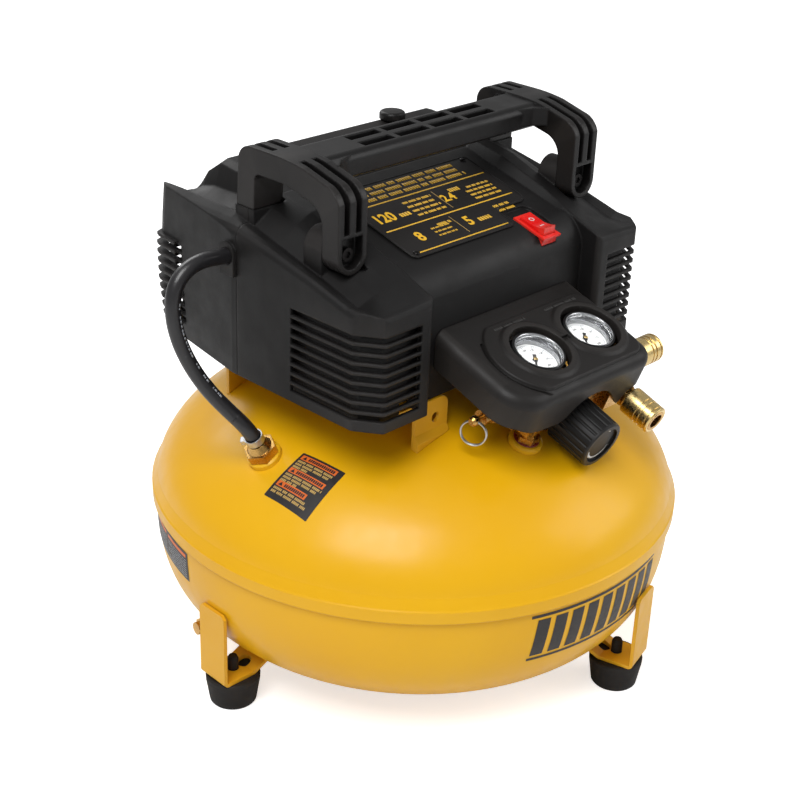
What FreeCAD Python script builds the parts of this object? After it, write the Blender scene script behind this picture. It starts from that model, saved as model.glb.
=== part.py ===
import FreeCAD, Part
import math
import os
import Sketcher
from FreeCAD import Vector, Rotation, Placement

# Pancake air compressor: a flat round air tank on three strap legs, with an
# oil-free belt driven pump under a two-part moulded shroud, a fixed carry
# handle, and a tilted console with regulator, gauges and two quick couplers.
#
# Frame: millimetres, +Z up, -Y is the front (console side), +X the side
# coupler's side.  The origin lies on the ground under the tank's axis.

doc = FreeCAD.newDocument("PancakeCompressor")
sheet = doc.addObject("Spreadsheet::Sheet", "params")
sheet.Label = "params"

X_AXIS = (1, 0, 0)
Y_AXIS = (0, 1, 0)
Z_AXIS = (0, 0, 1)
SIDES = (-1, 1)  # left, right


class Dim:
    """A number together with the spreadsheet expression it comes from."""

    def __init__(self, value, expr):
        self.value = float(value)
        self.expr = expr

    def __add__(self, other):
        return Dim(self.value + num(other), joined(self, "+", other))

    def __radd__(self, other):
        return Dim(num(other) + self.value, joined(other, "+", self))

    def __sub__(self, other):
        return Dim(self.value - num(other), joined(self, "-", other))

    def __rsub__(self, other):
        return Dim(num(other) - self.value, joined(other, "-", self))

    def __mul__(self, other):
        return Dim(self.value * num(other), joined(self, "*", other))

    def __rmul__(self, other):
        return Dim(num(other) * self.value, joined(other, "*", self))

    def __truediv__(self, other):
        return Dim(self.value / num(other), joined(self, "/", other))

    def __neg__(self):
        return Dim(-self.value, "(0 - %s)" % self.expr)


def num(size):
    return size.value if isinstance(size, Dim) else float(size)


def joined(left, sign, right):
    texts = [q.expr if isinstance(q, Dim) else repr(float(q)) for q in (left, right)]
    return "(%s %s %s)" % (texts[0], sign, texts[1])


param_names = []


def param(name, value, note):
    param_names.append(name)
    row = len(param_names)
    sheet.set("A%d" % row, name)
    sheet.set("B%d" % row, str(value))
    sheet.set("C%d" % row, note)
    sheet.setAlias("B%d" % row, name)
    return Dim(value, "params.%s" % name)


# ---- driving dimensions ------------------------------------------------
seam_radius = param("seam_radius", 207.0, "tank radius at the seam")
seam_z = param("seam_z", 130.5, "height of the seam")
upper_rise = param("upper_rise", 106.8, "rise of the upper head above the seam")
upper_r_power = param("upper_r_power", 1.66, "upper head, radial shape exponent")
upper_z_power = param("upper_z_power", 2.08, "upper head, height shape exponent")
lower_depth = param("lower_depth", 114.5, "depth of the lower head below the seam")
lower_r_power = param("lower_r_power", 3.88, "lower head, radial shape exponent")
lower_z_power = param("lower_z_power", 3.19, "lower head, height shape exponent")
shell_t = param("shell_t", 2.2, "tank wall thickness")
bead_radius = param("bead_radius", 210.0, "outer radius of the lapped seam bead")
leg_w = param("leg_w", 29.0, "strap leg width")
leg_t = param("leg_t", 3.0, "strap leg thickness")
leg_out = param("leg_out", 208.0, "outer face radius of the strap legs")
leg_z = param("leg_z", 24.0, "underside of the foot plate")
leg_top = param("leg_top", 88.0, "top of the strap leg")
foot_circle = param("foot_circle", 188.5, "radius of the feet circle")
foot_top_r = param("foot_top_r", 21.0, "rubber foot radius, top")
foot_base_r = param("foot_base_r", 18.0, "rubber foot radius, bottom")
shroud_x = param("shroud_x", 150.0, "half width of the shroud")
shroud_front = param("shroud_front", 97.0, "front face of the shroud pods")
shroud_mid = param("shroud_mid", 80.0, "front face of the shroud centre")
shroud_rear = param("shroud_rear", 150.0, "rearmost face of the shroud")
shroud_seam = param("shroud_seam", 41.0, "shroud parting line")
shroud_base = param("shroud_base", 250.0, "bottom edge of the shroud")
shroud_t = param("shroud_t", 3.0, "shroud wall thickness")
pod_in = param("pod_in", 91.0, "inner corner of the pods")
slot_z = param("slot_z", 319.0, "top louvre slot, centre height")
slot_pitch = param("slot_pitch", 7.3, "louvre pitch")
slot_h = param("slot_h", 5.0, "louvre slot height")
arch_out = param("arch_out", 138.0, "outer face of the handle arches")
arch_in = param("arch_in", 111.0, "inner face of the handle arches")
arch_z = param("arch_z", 421.0, "top of the handle")
arm_front = param("arm_front", 50.0, "front face of the handle")
crank_y = param("crank_y", 20.0, "crank axis, y")
motor_y = param("motor_y", 85.0, "motor axis, y")
shaft_z = param("shaft_z", 305.0, "height of crank and motor axes")
crank_pulley_r = param("crank_pulley_r", 34.0, "crank pulley radius")
motor_pulley_r = param("motor_pulley_r", 8.5, "motor pulley radius")
crank_throw = param("crank_throw", 11.0, "half the piston stroke")
bore_r = param("bore_r", 24.0, "cylinder bore radius")
tilt = param("tilt", 20.0, "forward tilt of the console, degrees")
console_y = param("console_y", -80.0, "console rear edge, y")
console_z = param("console_z", 303.0, "console rear edge, z")
gauge_r = param("gauge_r", 20.6, "gauge case radius")
gauge_v = param("gauge_v", -50.8, "gauge centres, depth in the console")
tank_gauge_x = param("tank_gauge_x", -12.3, "tank gauge, x")
outlet_gauge_x = param("outlet_gauge_x", 45.2, "outlet gauge, x")
knob_r = param("knob_r", 20.0, "regulator knob radius")
knob_x = param("knob_x", 14.3, "regulator axis, x")
knob_w = param("knob_w", -49.2, "regulator axis, height in the console")
coupler_r = param("coupler_r", 11.2, "coupler sleeve radius")
coupler_x = param("coupler_x", 68.5, "front coupler axis, x")
coupler_w = param("coupler_w", -42.2, "front coupler axis, height in the console")
side_v = param("side_v", -75.0, "side coupler axis, depth in the console")
side_w = param("side_w", -19.5, "side coupler axis, height in the console")
socket_r = param("socket_r", 6.0, "plug socket radius of the couplers")
hose_r = param("hose_r", 5.7, "delivery hose radius")
doc.recompute()


# ---- document helpers --------------------------------------------------
used_names = []
pieces = []


def uid(base):
    used_names.append(base)
    return "%s_%d" % (base, len(used_names))


def bind(obj, prop, size):
    if isinstance(size, Dim):
        obj.setExpression(prop, size.expr)


def set_size(obj, prop, size):
    setattr(obj, prop, num(size))
    bind(obj, prop, size)


def place(obj, pos, axis=Z_AXIS):
    """Move an object to pos with its own Z along axis."""
    turned = Rotation(Vector(0, 0, 1), Vector(*axis))
    obj.Placement = Placement(Vector(*[num(q) for q in pos]), turned)
    for letter, size in zip("xyz", pos):
        bind(obj, "Placement.Base." + letter, size)
    return obj


def put(obj, placement):
    obj.Placement = placement
    return obj


def primitive(kind, pos, axis, **sizes):
    obj = doc.addObject("Part::" + kind, uid(kind.lower()))
    for prop, size in sizes.items():
        set_size(obj, prop, size)
    return place(obj, pos, axis)


def box(x0, x1, y0, y1, z0, z1):
    return primitive("Box", (x0, y0, z0), Z_AXIS, Length=x1 - x0, Width=y1 - y0, Height=z1 - z0)


def cyl(radius, height, pos=(0, 0, 0), axis=Z_AXIS):
    return primitive("Cylinder", pos, axis, Radius=radius, Height=height)


def cone(r1, r2, height, pos, axis=Z_AXIS):
    return primitive("Cone", pos, axis, Radius1=r1, Radius2=r2, Height=height)


def torus(r1, r2, pos, axis=Z_AXIS):
    return primitive("Torus", pos, axis, Radius1=r1, Radius2=r2)


def hexagon(radius, height, pos, axis=Z_AXIS):
    obj = primitive("Prism", pos, axis, Circumradius=radius, Height=height)
    obj.Polygon = 6
    return obj


def fuse(*parts):
    if len(parts) == 1:
        return parts[0]
    obj = doc.addObject("Part::MultiFuse", uid("fuse"))
    obj.Shapes = list(parts)
    return obj


def common(*parts):
    obj = doc.addObject("Part::MultiCommon", uid("common"))
    obj.Shapes = list(parts)
    return obj


def cut(base, *tools):
    obj = doc.addObject("Part::Cut", uid("cut"))
    obj.Base = base
    obj.Tool = fuse(*tools)
    return obj


def group(*parts):
    obj = doc.addObject("Part::Compound", uid("group"))
    obj.Links = list(parts)
    return obj


def free(shape):
    obj = doc.addObject("Part::Feature", uid("shape"))
    obj.Shape = shape
    return obj


def node(obj, name):
    """Label an object as a piece to export."""
    obj.Label = name
    pieces.append(obj)
    return obj


def piece(make):
    """Decorator: build the piece a function makes and label it with its name."""
    return node(make(), make.__name__)


# ---- outlines and sketched solids --------------------------------------
def span(side, near, far):
    """The x range from near to far on the left (-1) or right (1) side."""
    return (-far, -near) if side < 0 else (near, far)


def mirrored(points):
    return [(-x, y) for x, y in reversed(points)]


def rect(x0, y0, x1, y1):
    return [(x0, y0), (x1, y0), (x1, y1), (x0, y1)]


def constrain(sk, size, *spec):
    """Add a dimension and drive it from the spreadsheet if it comes from there."""
    index = sk.addConstraint(Sketcher.Constraint(*spec, num(size)))
    if isinstance(size, Dim):
        name = "d%d" % index
        sk.renameConstraint(index, name)
        sk.setExpression("Constraints." + name, size.expr)


def fix_point(sk, edge, end, corner):
    for letter, size, axis_line in zip("XY", corner, (-2, -1)):
        if abs(num(size)) < 1e-9 and not isinstance(size, Dim):
            sk.addConstraint(Sketcher.Constraint("PointOnObject", edge, end, axis_line))
        else:
            constrain(sk, size, "Distance" + letter, -1, 1, edge, end)


def sketch(body, plane, outline, offset=0.0):
    """A closed, fully dimensioned outline: a list of corners (x, y), where
    ("A", x, y) between two corners makes an arc through that point."""
    sk = body.newObject("Sketcher::SketchObject", uid("sketch"))
    role = plane + "_Plane"
    support = [f for f in body.Origin.OriginFeatures if f.Role == role][0]
    sk.AttachmentSupport = [(support, "")]
    sk.MapMode = "FlatFace"
    sk.AttachmentOffset = Placement(Vector(0, 0, num(offset)), Rotation())
    bind(sk, "AttachmentOffset.Base.z", offset)

    corners = []
    arcs = {}
    for point in outline:
        if point[0] == "A":
            arcs[len(corners) - 1] = point[1:]
        else:
            corners.append(point)
    ends = corners[1:] + corners[:1]
    segments = []  # geometry index, its start and end point numbers, arc radius
    for i, pair in enumerate(zip(corners, ends)):
        start, end = [Vector(num(x), num(y), 0) for x, y in pair]
        if i in arcs:
            via = Vector(num(arcs[i][0]), num(arcs[i][1]), 0)
            ccw = (via - start).cross(end - via).z > 0
            arc = Part.Arc(start, via, end) if ccw else Part.Arc(end, via, start)
            edge = sk.addGeometry(arc, False)
            segments.append((edge, 1 if ccw else 2, 2 if ccw else 1, sk.Geometry[edge].Radius))
        else:
            edge = sk.addGeometry(Part.LineSegment(start, end), False)
            segments.append((edge, 1, 2, None))
    for this, following in zip(segments, segments[1:] + segments[:1]):
        sk.addConstraint(Sketcher.Constraint("Coincident", this[0], this[2],
                                             following[0], following[1]))
    for corner, following, (edge, first, _, radius) in zip(corners, ends, segments):
        fix_point(sk, edge, first, corner)
        if radius is None:
            continue
        rise = num(following[1]) - num(corner[1])
        if math.hypot(num(following[0]) - num(corner[0]), rise) < 1.99 * radius:
            constrain(sk, radius, "Radius", edge)
            continue
        # a half circle is fixed by its centre instead of its radius
        centre = sk.Geometry[edge].Center
        if abs(rise) < 1e-6:
            constrain(sk, centre.y, "DistanceY", -1, 1, edge, 3)
        else:
            constrain(sk, centre.x, "DistanceX", -1, 1, edge, 3)
    return sk


def new_body():
    return doc.addObject("PartDesign::Body", uid("body"))


def pad(plane, outline, low, high):
    """Extrude an outline between two levels measured along +Z, +Y or +X."""
    body = new_body()
    profile = sketch(body, plane, outline, -high if plane == "XZ" else low)
    feature = body.newObject("PartDesign::Pad", uid("pad"))
    feature.Profile = profile
    set_size(feature, "Length", high - low)
    return body


def turn(outline):
    """Revolve an outline (radius, height) about the vertical axis."""
    body = new_body()
    profile = sketch(body, "XZ", outline)
    feature = body.newObject("PartDesign::Revolution", uid("turn"))
    feature.Profile = profile
    feature.ReferenceAxis = (profile, ["V_Axis"])
    feature.Angle = 360.0
    return body


def loft(plane, sections):
    """Straight-sided loft through outlines at levels along +Y or +Z."""
    body = new_body()
    sketches = [sketch(body, plane, outline, -level if plane == "XZ" else level)
                for level, outline in sections]
    feature = body.newObject("PartDesign::AdditiveLoft", uid("loft"))
    feature.Profile = sketches[0]
    feature.Sections = sketches[1:]
    feature.Ruled = True
    return body


def soften(body, size, pick, kind="Fillet"):
    """Round or chamfer the edges of a body whose midpoint pick accepts."""
    doc.recompute()
    last = body.Tip
    names = ["Edge%d" % (i + 1) for i, e in enumerate(last.Shape.Edges)
             if pick(e.valueAt((e.FirstParameter + e.LastParameter) / 2.0))]
    if not names:
        raise RuntimeError("no edge picked on %s" % body.Name)
    feature = body.newObject("PartDesign::" + kind, uid(kind.lower()))
    feature.Base = (last, names)
    set_size(feature, "Radius" if kind == "Fillet" else "Size", size)
    doc.recompute()
    shape = feature.Shape
    # a rounding the kernel can't build is left off, and the edges stay sharp
    if ("Invalid" in feature.State or "Error" in feature.State
            or shape.isNull() or not shape.isValid()):
        body.removeObject(feature)
        doc.removeObject(feature.Name)
        body.Tip = last
        doc.recompute()
    return body


# ---- tank --------------------------------------------------------------
# each head: height, radial exponent, height exponent, up or down
UPPER = (num(upper_rise), num(upper_r_power), num(upper_z_power), 1.0)
LOWER = (num(lower_depth), num(lower_r_power), num(lower_z_power), -1.0)
seam = num(seam_z)
wall_radius = num(seam_radius)
wall = num(shell_t)


def head_points(count, head, inset):
    """Outline (radius, z) of a head from seam to axis, moved inwards by inset."""
    height, r_power, z_power, sign = head
    points = []
    for i in range(count + 1):
        angle = math.pi / 2 * i / count
        points.append((wall_radius * max(math.cos(angle), 0.0) ** (2.0 / r_power),
                       height * math.sin(angle) ** (2.0 / z_power)))
    points[-1] = (0.0, height)
    moved = []
    for i, (r, z) in enumerate(points):
        before = points[max(i - 1, 0)]
        after = points[min(i + 1, count)]
        dr, dz = after[0] - before[0], after[1] - before[1]
        length = math.hypot(dr, dz)
        moved.append((max(r - inset * dz / length, 0.0), z + inset * dr / length))
    moved[-1] = (0.0, height - inset)
    return [(r, seam + sign * z) for r, z in moved]


def spline(points):
    curve = Part.BSplineCurve()
    curve.interpolate([Vector(r, 0, z) for r, z in points])
    return curve.toShape()


def lines(points):
    corners = [Vector(r, 0, z) for r, z in points]
    return [Part.makeLine(a, b) for a, b in zip(corners, corners[1:])]


def spin(edges):
    wire = Part.Wire(Part.__sortEdges__(edges))
    shape = Part.Face(wire).revolve(Vector(0, 0, 0), Vector(0, 0, 1), 360)
    return free(shape if shape.Volume > 0 else shape.reversed())


def tank_top(radius):
    """Height of the upper head at a radius, and its normal's lean from upright."""
    points = head_points(200, UPPER, 0.0)
    for a, b in zip(points, points[1:]):
        if b[0] <= radius <= a[0]:
            part = (a[0] - radius) / (a[0] - b[0])
            lean = math.pi / 2 - math.atan2(a[0] - b[0], b[1] - a[1])
            return a[1] + part * (b[1] - a[1]), lean


def tank_side(z):
    """Radius of the lower head at a height."""
    points = head_points(200, LOWER, 0.0)
    for a, b in zip(points, points[1:]):
        if b[1] <= z <= a[1]:
            return a[0] + (a[1] - z) / (a[1] - b[1]) * (b[0] - a[0])


def port(radius, degrees):
    """Point on the upper head and the outward direction there."""
    z, lean = tank_top(radius)
    angle = math.radians(degrees)
    return (Vector(radius * math.cos(angle), radius * math.sin(angle), z),
            Vector(math.sin(lean) * math.cos(angle), math.sin(lean) * math.sin(angle),
                   math.cos(lean)))


hose_port, hose_dir = port(154.5, 177.9)
nipple_port, nipple_dir = port(124.5, -97.0)
drain_angle = math.radians(172.0)
drain_z = 58.0
drain_dir = Vector(math.cos(drain_angle), math.sin(drain_angle), 0)
drain_port = drain_dir * tank_side(drain_z) + Vector(0, 0, drain_z)


@piece
def tank_upper_shell():
    outer = [p for p in head_points(28, UPPER, 0.0) if p[1] > seam + 11.0]
    inner = [p for p in head_points(28, UPPER, wall) if p[1] > seam + 10.0]
    bead = num(bead_radius)
    lap = wall_radius + 0.15
    edges = [spline(outer)]
    edges += lines([outer[0], (bead - 0.9, seam + 5.2), (bead, seam + 4.0), (bead, seam - 5.2),
                    (bead - 0.6, seam - 6.0), (lap, seam - 6.0), (lap, seam + 6.0), inner[0]])
    edges += [spline(inner)]
    edges += lines([inner[-1], outer[-1]])
    return cut(spin(edges), cyl(13.1, 30.0, hose_port - hose_dir * 15, hose_dir),
               cyl(13.1, 30.0, nipple_port - nipple_dir * 15, nipple_dir))


@piece
def tank_lower_shell():
    outer = head_points(30, LOWER, 0.0)
    inner = [p for p in head_points(30, LOWER, wall) if p[0] < wall_radius - wall + 0.5]
    edges = [spline(outer)]
    edges += lines([outer[0], (wall_radius, seam + 5.0), (wall_radius - wall, seam + 5.0),
                    inner[0]])
    edges += [spline(inner)]
    edges += lines([inner[-1], outer[-1]])
    return cut(spin(edges), cyl(10.1, 30.0, drain_port - drain_dir * 20, drain_dir))


def bung(pos, axis, radius, bore):
    return cut(fuse(cyl(radius, 8.0, pos - axis * 5.0, axis),
                    cone(radius, radius - 1.5, 1.2, pos + axis * 3.0, axis)),
               cyl(bore, 14.0, pos - axis * 7.0, axis))


node(group(bung(hose_port, hose_dir, 13.0, 7.0), bung(nipple_port, nipple_dir, 13.0, 7.0),
           bung(drain_port, drain_dir, 10.0, 6.0)), "tank_bungs")

# solid envelope just outside the tank, to trim the saddles against
upper_skin = head_points(28, UPPER, -0.25)
lower_skin = head_points(30, LOWER, -0.25)
tank_envelope = spin([spline(upper_skin), spline(lower_skin)]
                     + lines([upper_skin[-1], lower_skin[-1]]))

# ---- legs and feet -----------------------------------------------------
LEG_ANGLES = (-181.5, -75.5, 54.0)


def leg(degrees):
    outer, base, top = num(leg_out), num(leg_z), num(leg_top)
    strap = pad("XZ", [(leg_out - 29.0, leg_z), (leg_out, leg_z), (leg_out, leg_top),
                       (leg_out - leg_t, leg_top), (leg_out - leg_t, leg_z + leg_t),
                       (leg_out - 27.8, leg_z + leg_t), (leg_out - 41.0, leg_z + 9.2),
                       (leg_out - 42.4, leg_z + 6.5)], -leg_w / 2, leg_w / 2)
    soften(strap, 4.5, lambda p: abs(p.x - outer) < 0.1 and abs(p.z - base) < 0.1)
    soften(strap, 3.0, lambda p: abs(p.z - top) < 0.1 and abs(p.x - outer + 1.5) < 0.2
           and abs(abs(p.y) - num(leg_w) / 2) < 0.1, "Chamfer")
    drilled = cut(strap, cyl(4.5, 20.0, (foot_circle, 0, leg_z - 5.0)),
                  cyl(5.5, 20.0, (foot_circle - 10.6, 0, leg_z - 5.0)))
    return put(drilled, Placement(Vector(0, 0, 0), Rotation(Vector(0, 0, 1), degrees)))


def foot(degrees):
    angle = math.radians(degrees)
    top = leg_z - 0.05
    rubber = turn([(0, 9.0), (8.0, 9.0), (8.0, 0), (foot_base_r - 1.0, 0), (foot_base_r, 1.2),
                   (foot_top_r - 0.2, 19.0), (foot_top_r, top - 1.0), (foot_top_r - 1.2, top),
                   (4.3, top), (4.3, top + 12.0), (3.2, top + 14.5), (0, top + 14.5)])
    return place(rubber, (foot_circle * math.cos(angle), foot_circle * math.sin(angle), 0))


node(group(*[leg(a) for a in LEG_ANGLES]), "leg_brackets")
node(group(*[foot(a) for a in LEG_ANGLES]), "rubber_feet")

# ---- saddle brackets on the tank ---------------------------------------
# frame mounting points (x, y), shared by the saddles and the pump frame
MOUNTS = [(x, y) for x in (-92.0, 92.0) for y in (-45.0, 45.0)]


def saddle(side):
    shelf_x = span(side, 74.0, 112.0)
    shelf = fuse(box(*shelf_x, -73.0, 100.0, 258.0, 261.0),
                 box(*shelf_x, -73.0, -70.0, 246.2, 261.0),
                 box(*shelf_x, -80.0, -70.0, 246.2, 249.2))
    front_tab = [(side * 89.0, 196.0), (side * 54.8, 196.0), (side * 54.8, 241.5),
                 ("A", side * 57.0, 247.0), (side * 62.3, 249.2), (side * 89.0, 249.2)]
    rear_tab = [(side * 112.0, 196.0), (side * 74.0, 196.0),
                (side * 74.0, 261.0), (side * 112.0, 261.0)]
    # the foot of the front tab flares where it is welded to the tank
    flare = [(-79.5, 196.0), (-84.6, 196.0), (-84.6, 219.6), (-81.5, 225.4), (-79.5, 225.4)]
    tabs = [pad("XZ", front_tab, -81.5, -78.5), pad("XZ", rear_tab, 97.0, 100.0),
            pad("YZ", flare, *span(side, 54.8, 89.0))]
    hole = cyl(3.9, 40.0, (side * 67.6, -100.0, 234.2), Y_AXIS)
    bolts = [cyl(3.3, 20.0, (x, y, 250.0)) for x, y in MOUNTS if x * side > 0]
    return cut(cut(fuse(shelf, *tabs), tank_envelope), hole, *bolts)


node(group(saddle(-1), saddle(1)), "saddle_brackets")


# ---- drain valve -------------------------------------------------------
@piece
def drain_valve_body():
    outside = fuse(cyl(5.9, 7.8, drain_port - drain_dir * 3.0, drain_dir),
                   hexagon(7.5, 4.0, drain_port + drain_dir * 4.6, drain_dir))
    return cut(outside, cyl(3.05, 20.0, drain_port - drain_dir, drain_dir))


node(fuse(cyl(3.0, 8.0, drain_port + drain_dir, drain_dir),
          cyl(5.0, 4.0, drain_port + drain_dir * 8.9, drain_dir)), "drain_valve_screw")

# ---- shroud ------------------------------------------------------------
# Stations along y.  Each holds y, the two x that move from station to station,
# z of the outer edge, and z at each x from outside to inside.
FRONT_TABLE = [
    (-97.0, 124.0, 93.0, 333.0, (332.8, 332.0, 332.6, 333.4, 334.0, 334.0)),
    (-95.9, 124.0, 93.0, 335.9, (335.7, 334.8, 335.6, 336.4, 337.0, 337.0)),
    (-93.0, 124.0, 93.0, 337.2, (337.0, 335.9, 337.0, 338.2, 339.1, 339.0)),
    (-70.0, 124.0, 93.0, 338.5, (338.5, 335.0, 340.0, 344.0, 347.5, 347.0)),
    (-36.0, 124.0, 94.0, 347.5, (347.9, 345.8, 352.0, 358.5, 361.0, 356.0)),
    (9.0, 122.0, 95.0, 356.8, (358.2, 357.2, 368.5, 375.0, 375.5, 368.0)),
    (41.0, 121.0, 96.0, 362.6, (365.2, 366.0, 376.0, 380.5, 380.5, 376.5)),
]
REAR_TABLE = [
    (41.3, 121.0, 114.0, 362.6, (365.2, 366.0, 368.6, 376.0, 379.6, 380.6, 376.6)),
    (54.0, 120.0, 114.0, 362.9, (366.8, 370.0, 366.4, 374.6, 381.6, 383.8, 380.0)),
    (72.0, 119.0, 114.0, 363.2, (367.2, 370.8, 366.0, 373.0, 386.0, 389.0, 384.7)),
    (102.0, 118.0, 113.0, 364.0, (367.6, 371.2, 366.4, 372.0, 388.5, 391.0, 391.0)),
    (116.0, 118.0, 113.0, 364.6, (368.0, 371.4, 365.8, 369.0, 379.0, 381.0, 381.0)),
    (130.0, 118.0, 113.0, 365.0, (368.2, 371.2, 364.0, 361.0, 359.6, 359.0, 359.0)),
    (156.0, 118.0, 113.0, 365.0, (367.4, 369.6, 361.0, 357.0, 355.6, 355.0, 355.0)),
]
FRONT = [(y, edge_z, list(zip((143.5, 138.0, xa, 108.0, xb, 88.0), heights)))
         for y, xa, xb, edge_z, heights in FRONT_TABLE]
REAR = [(y, edge_z, list(zip((143.5, 138.0, 131.0, xa, xb, 106.0, 88.0), heights)))
        for y, xa, xb, edge_z, heights in REAR_TABLE]
# Corner (z, x, y) of the rear half in plan at several heights: it leans and bulges.
CORNER = [(230.0, 131.0, 141.0), (249.0, 132.2, 145.5), (262.0, 133.2, 148.0),
          (290.0, 135.0, num(shroud_rear)), (318.0, 136.8, 148.6), (345.0, 138.8, 143.8),
          (371.0, 140.6, 138.4), (425.0, 144.0, 128.0)]


def shroud_section(edge_z, half, inset):
    edge = shroud_x - inset
    depth = num(inset)
    drop = depth * 1.12
    low = edge_z - drop
    x1, z1 = half[0]
    left = [(-edge, shroud_base - (5.0 if depth > 0 else 0.0)), (-edge, low - 4.4),
            (-edge + 0.9, low - 1.7), (-edge + 3.2, low + (z1 - edge_z) * 0.35),
            (-x1 + depth * 0.8, z1 - drop)]
    left += [(-x, z - drop) for x, z in half[1:]]
    return left + mirrored(left)


def shroud_loft(stations, inset, front=0.0, rear=0.0):
    """Loft through the stations, lengthened at the front and rear ends."""
    levels = [y for y, _, _ in stations]
    levels[0] -= front
    levels[-1] += rear
    return loft("XZ", [(y, shroud_section(edge_z, half, inset))
                       for y, (_, edge_z, half) in zip(levels, stations)])


def front_plan(inset, rear_y, corner_r):
    """Upright block with the front half's plan and rounded front corners."""
    edge_x = -(shroud_x - inset)
    left = [(edge_x, rear_y), (edge_x, -78.0 + inset * 0.6),
            (-(137.0 - inset * 0.6), -(shroud_front - inset)),
            (-(pod_in + inset), -(shroud_front - inset)),
            (-(pod_in + inset), -(shroud_mid - inset))]
    block = pad("XY", left + mirrored(left), 230.0, 420.0)
    return soften(block, corner_r,
                  lambda p: abs(p.z - 325.0) < 0.01 and p.y < -70.0 and abs(p.x) > 85.0)


def rear_plan(inset, front_y=shroud_seam + 0.3):
    """Block with the rear half's plan, lofted through its leaning corners."""
    sections = []
    xa, ya = num(shroud_x) - inset, 47.0
    for z, corner_x, corner_y in CORNER:
        xb, yb = corner_x - inset * 0.98, corner_y - inset
        slant = (xa - xb) / (yb - ya)
        left = [(-xa, front_y), (-xa, ya), (-(xb + 7.5 * slant), yb - 7.5),
                (-(xb - 1.5), yb - 2.3), (-(xb - 7.5), yb)]
        sections.append((z, left + mirrored(left)))
    return loft("XY", sections)


def louvres(count, first_z, height, near_x, y0, y1):
    """Boxes at the louvre pitch from first_z downwards, on both sides."""
    boxes = []
    for k in range(count):
        z = first_z - slot_pitch * k
        for side in SIDES:
            boxes.append(box(*span(side, near_x, 160.0), y0, y1,
                             z - height / 2.0, z + height / 2.0))
    return boxes


def baffles(left, low, high):
    return fuse(pad("XY", left, low, high), pad("XY", mirrored(left), low, high))


def foot_boss(side):
    """Upright round-topped boss behind a front foot of the handle."""
    x0, x1 = span(side, 109.5, 139.5)
    return pad("XZ", [(x0 + 1.5, 330.0), (x1 - 1.5, 330.0), (x1 - 1.5, 364.0),
                      ("A", (x0 + x1) / 2, 377.5), (x0 + 1.5, 364.0)], -33.6, -16.0)


def handle_seat(side, y0, y1, z0, z1):
    return box(*span(side, 110.4, 138.6), y0, y1, z0, z1)


SWITCH = Placement(Vector(54.0, -63.5, 348.9), Rotation(Vector(1, 0, 0), 15.5))
HANDLE_SCREW_X = 124.5
HANDLE_SCREW_Z = 362.8


@piece
def front_shroud():
    outer = common(shroud_loft(FRONT, 0.0), front_plan(0.0, shroud_seam, 4.5))
    inner = common(shroud_loft(FRONT, shroud_t, rear=5.0),
                   front_plan(shroud_t, shroud_seam + 5.0, 2.0))
    # rounded brow of the recessed centre front
    curve = [(-shroud_mid, 328.0), ("A", -73.2, 341.6), (-58.0, 350.3)]
    brow = ([(-110.0, 200.0), (-81.0, 200.0), (-shroud_mid, 240.0)] + curve
            + [(-58.0, 420.0), (-110.0, 420.0)])
    skin = cut(cut(outer, inner), pad("YZ", brow, -pod_in, pod_in))
    brow_skin = pad("YZ", [(-shroud_mid, shroud_base)] + curve
                    + [(-55.0, 351.1), (-55.0, 347.8), (-57.0, 347.3), ("A", -70.6, 339.4),
                       (-(shroud_mid - shroud_t), 327.4), (-(shroud_mid - shroud_t), shroud_base)],
                    -(pod_in + shroud_t), pod_in + shroud_t)
    cheeks = common(outer, fuse(*[box(*span(side, pod_in, pod_in + shroud_t),
                                      -80.0, -50.0, 320.0, 365.0) for side in SIDES]))
    # sunk panel of the rocker switch and its opening
    panel = put(pad("XY", rect(-15.5, -24.0, 15.5, 25.5), -6.0, -3.0), SWITCH)
    sunk = put(pad("XY", [(-11.5, -23.5), (11.5, -23.5), (13.5, -20.0), (13.5, 16.0),
                          ("A", 11.0, 21.5), (5.0, 23.5), (-7.0, 23.5), ("A", -12.0, 21.0),
                          (-13.5, 16.0), (-13.5, -20.0)], -3.0, 30.0), SWITCH)
    window = put(pad("XY", rect(-8.2, -16.2, 8.2, 13.2), -20.0, 30.0), SWITCH)
    panel_room = cut(pad("XY", rect(30.0, -100.0, 80.0, -20.0), 300.0, 400.0),
                     pad("YZ", brow, 20.0, 90.0))
    solid = fuse(skin, brow_skin, cheeks, foot_boss(-1), foot_boss(1),
                 *[handle_seat(side, 35.2, 41.0, 345.0, 375.7) for side in SIDES],
                 common(panel, panel_room))
    tools = louvres(9, slot_z, slot_h, 102.0, -110.0, -16.0)
    for side in SIDES:
        tools += [handle_seat(side, -51.5, -33.6, 349.6, 430.0),
                  handle_seat(side, 33.0, 56.0, 375.7, 430.0)]
    tools += [cyl(2.4, 30.0, (side * HANDLE_SCREW_X, -40.0, HANDLE_SCREW_Z), Y_AXIS)
              for side in SIDES]
    shell = cut(solid, *(tools + [sunk, window]))
    strips = baffles([(-141.0, 4.0), (-141.0, -76.0), (-132.6, -88.4), (-97.5, -88.4),
                      (-97.5, -86.8), (-131.8, -86.8), (-139.4, -75.5), (-139.4, 4.0)],
                     253.0, 352.0)
    # the baffles are notched round the saddles
    notches = [box(*span(side, 72.0, 113.5), -100.0, 105.0, 240.0, 263.0) for side in SIDES]
    return fuse(shell, cut(common(outer, strips), *notches))


# rear fittings shared by the shroud and the parts it holds
HOSE_EXIT_Y, HOSE_EXIT_Z = 48.5, 341.6
CORD_X, CORD_Z = 60.0, 272.0
FILTER_X, FILTER_Y = 62.0, 98.0


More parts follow.
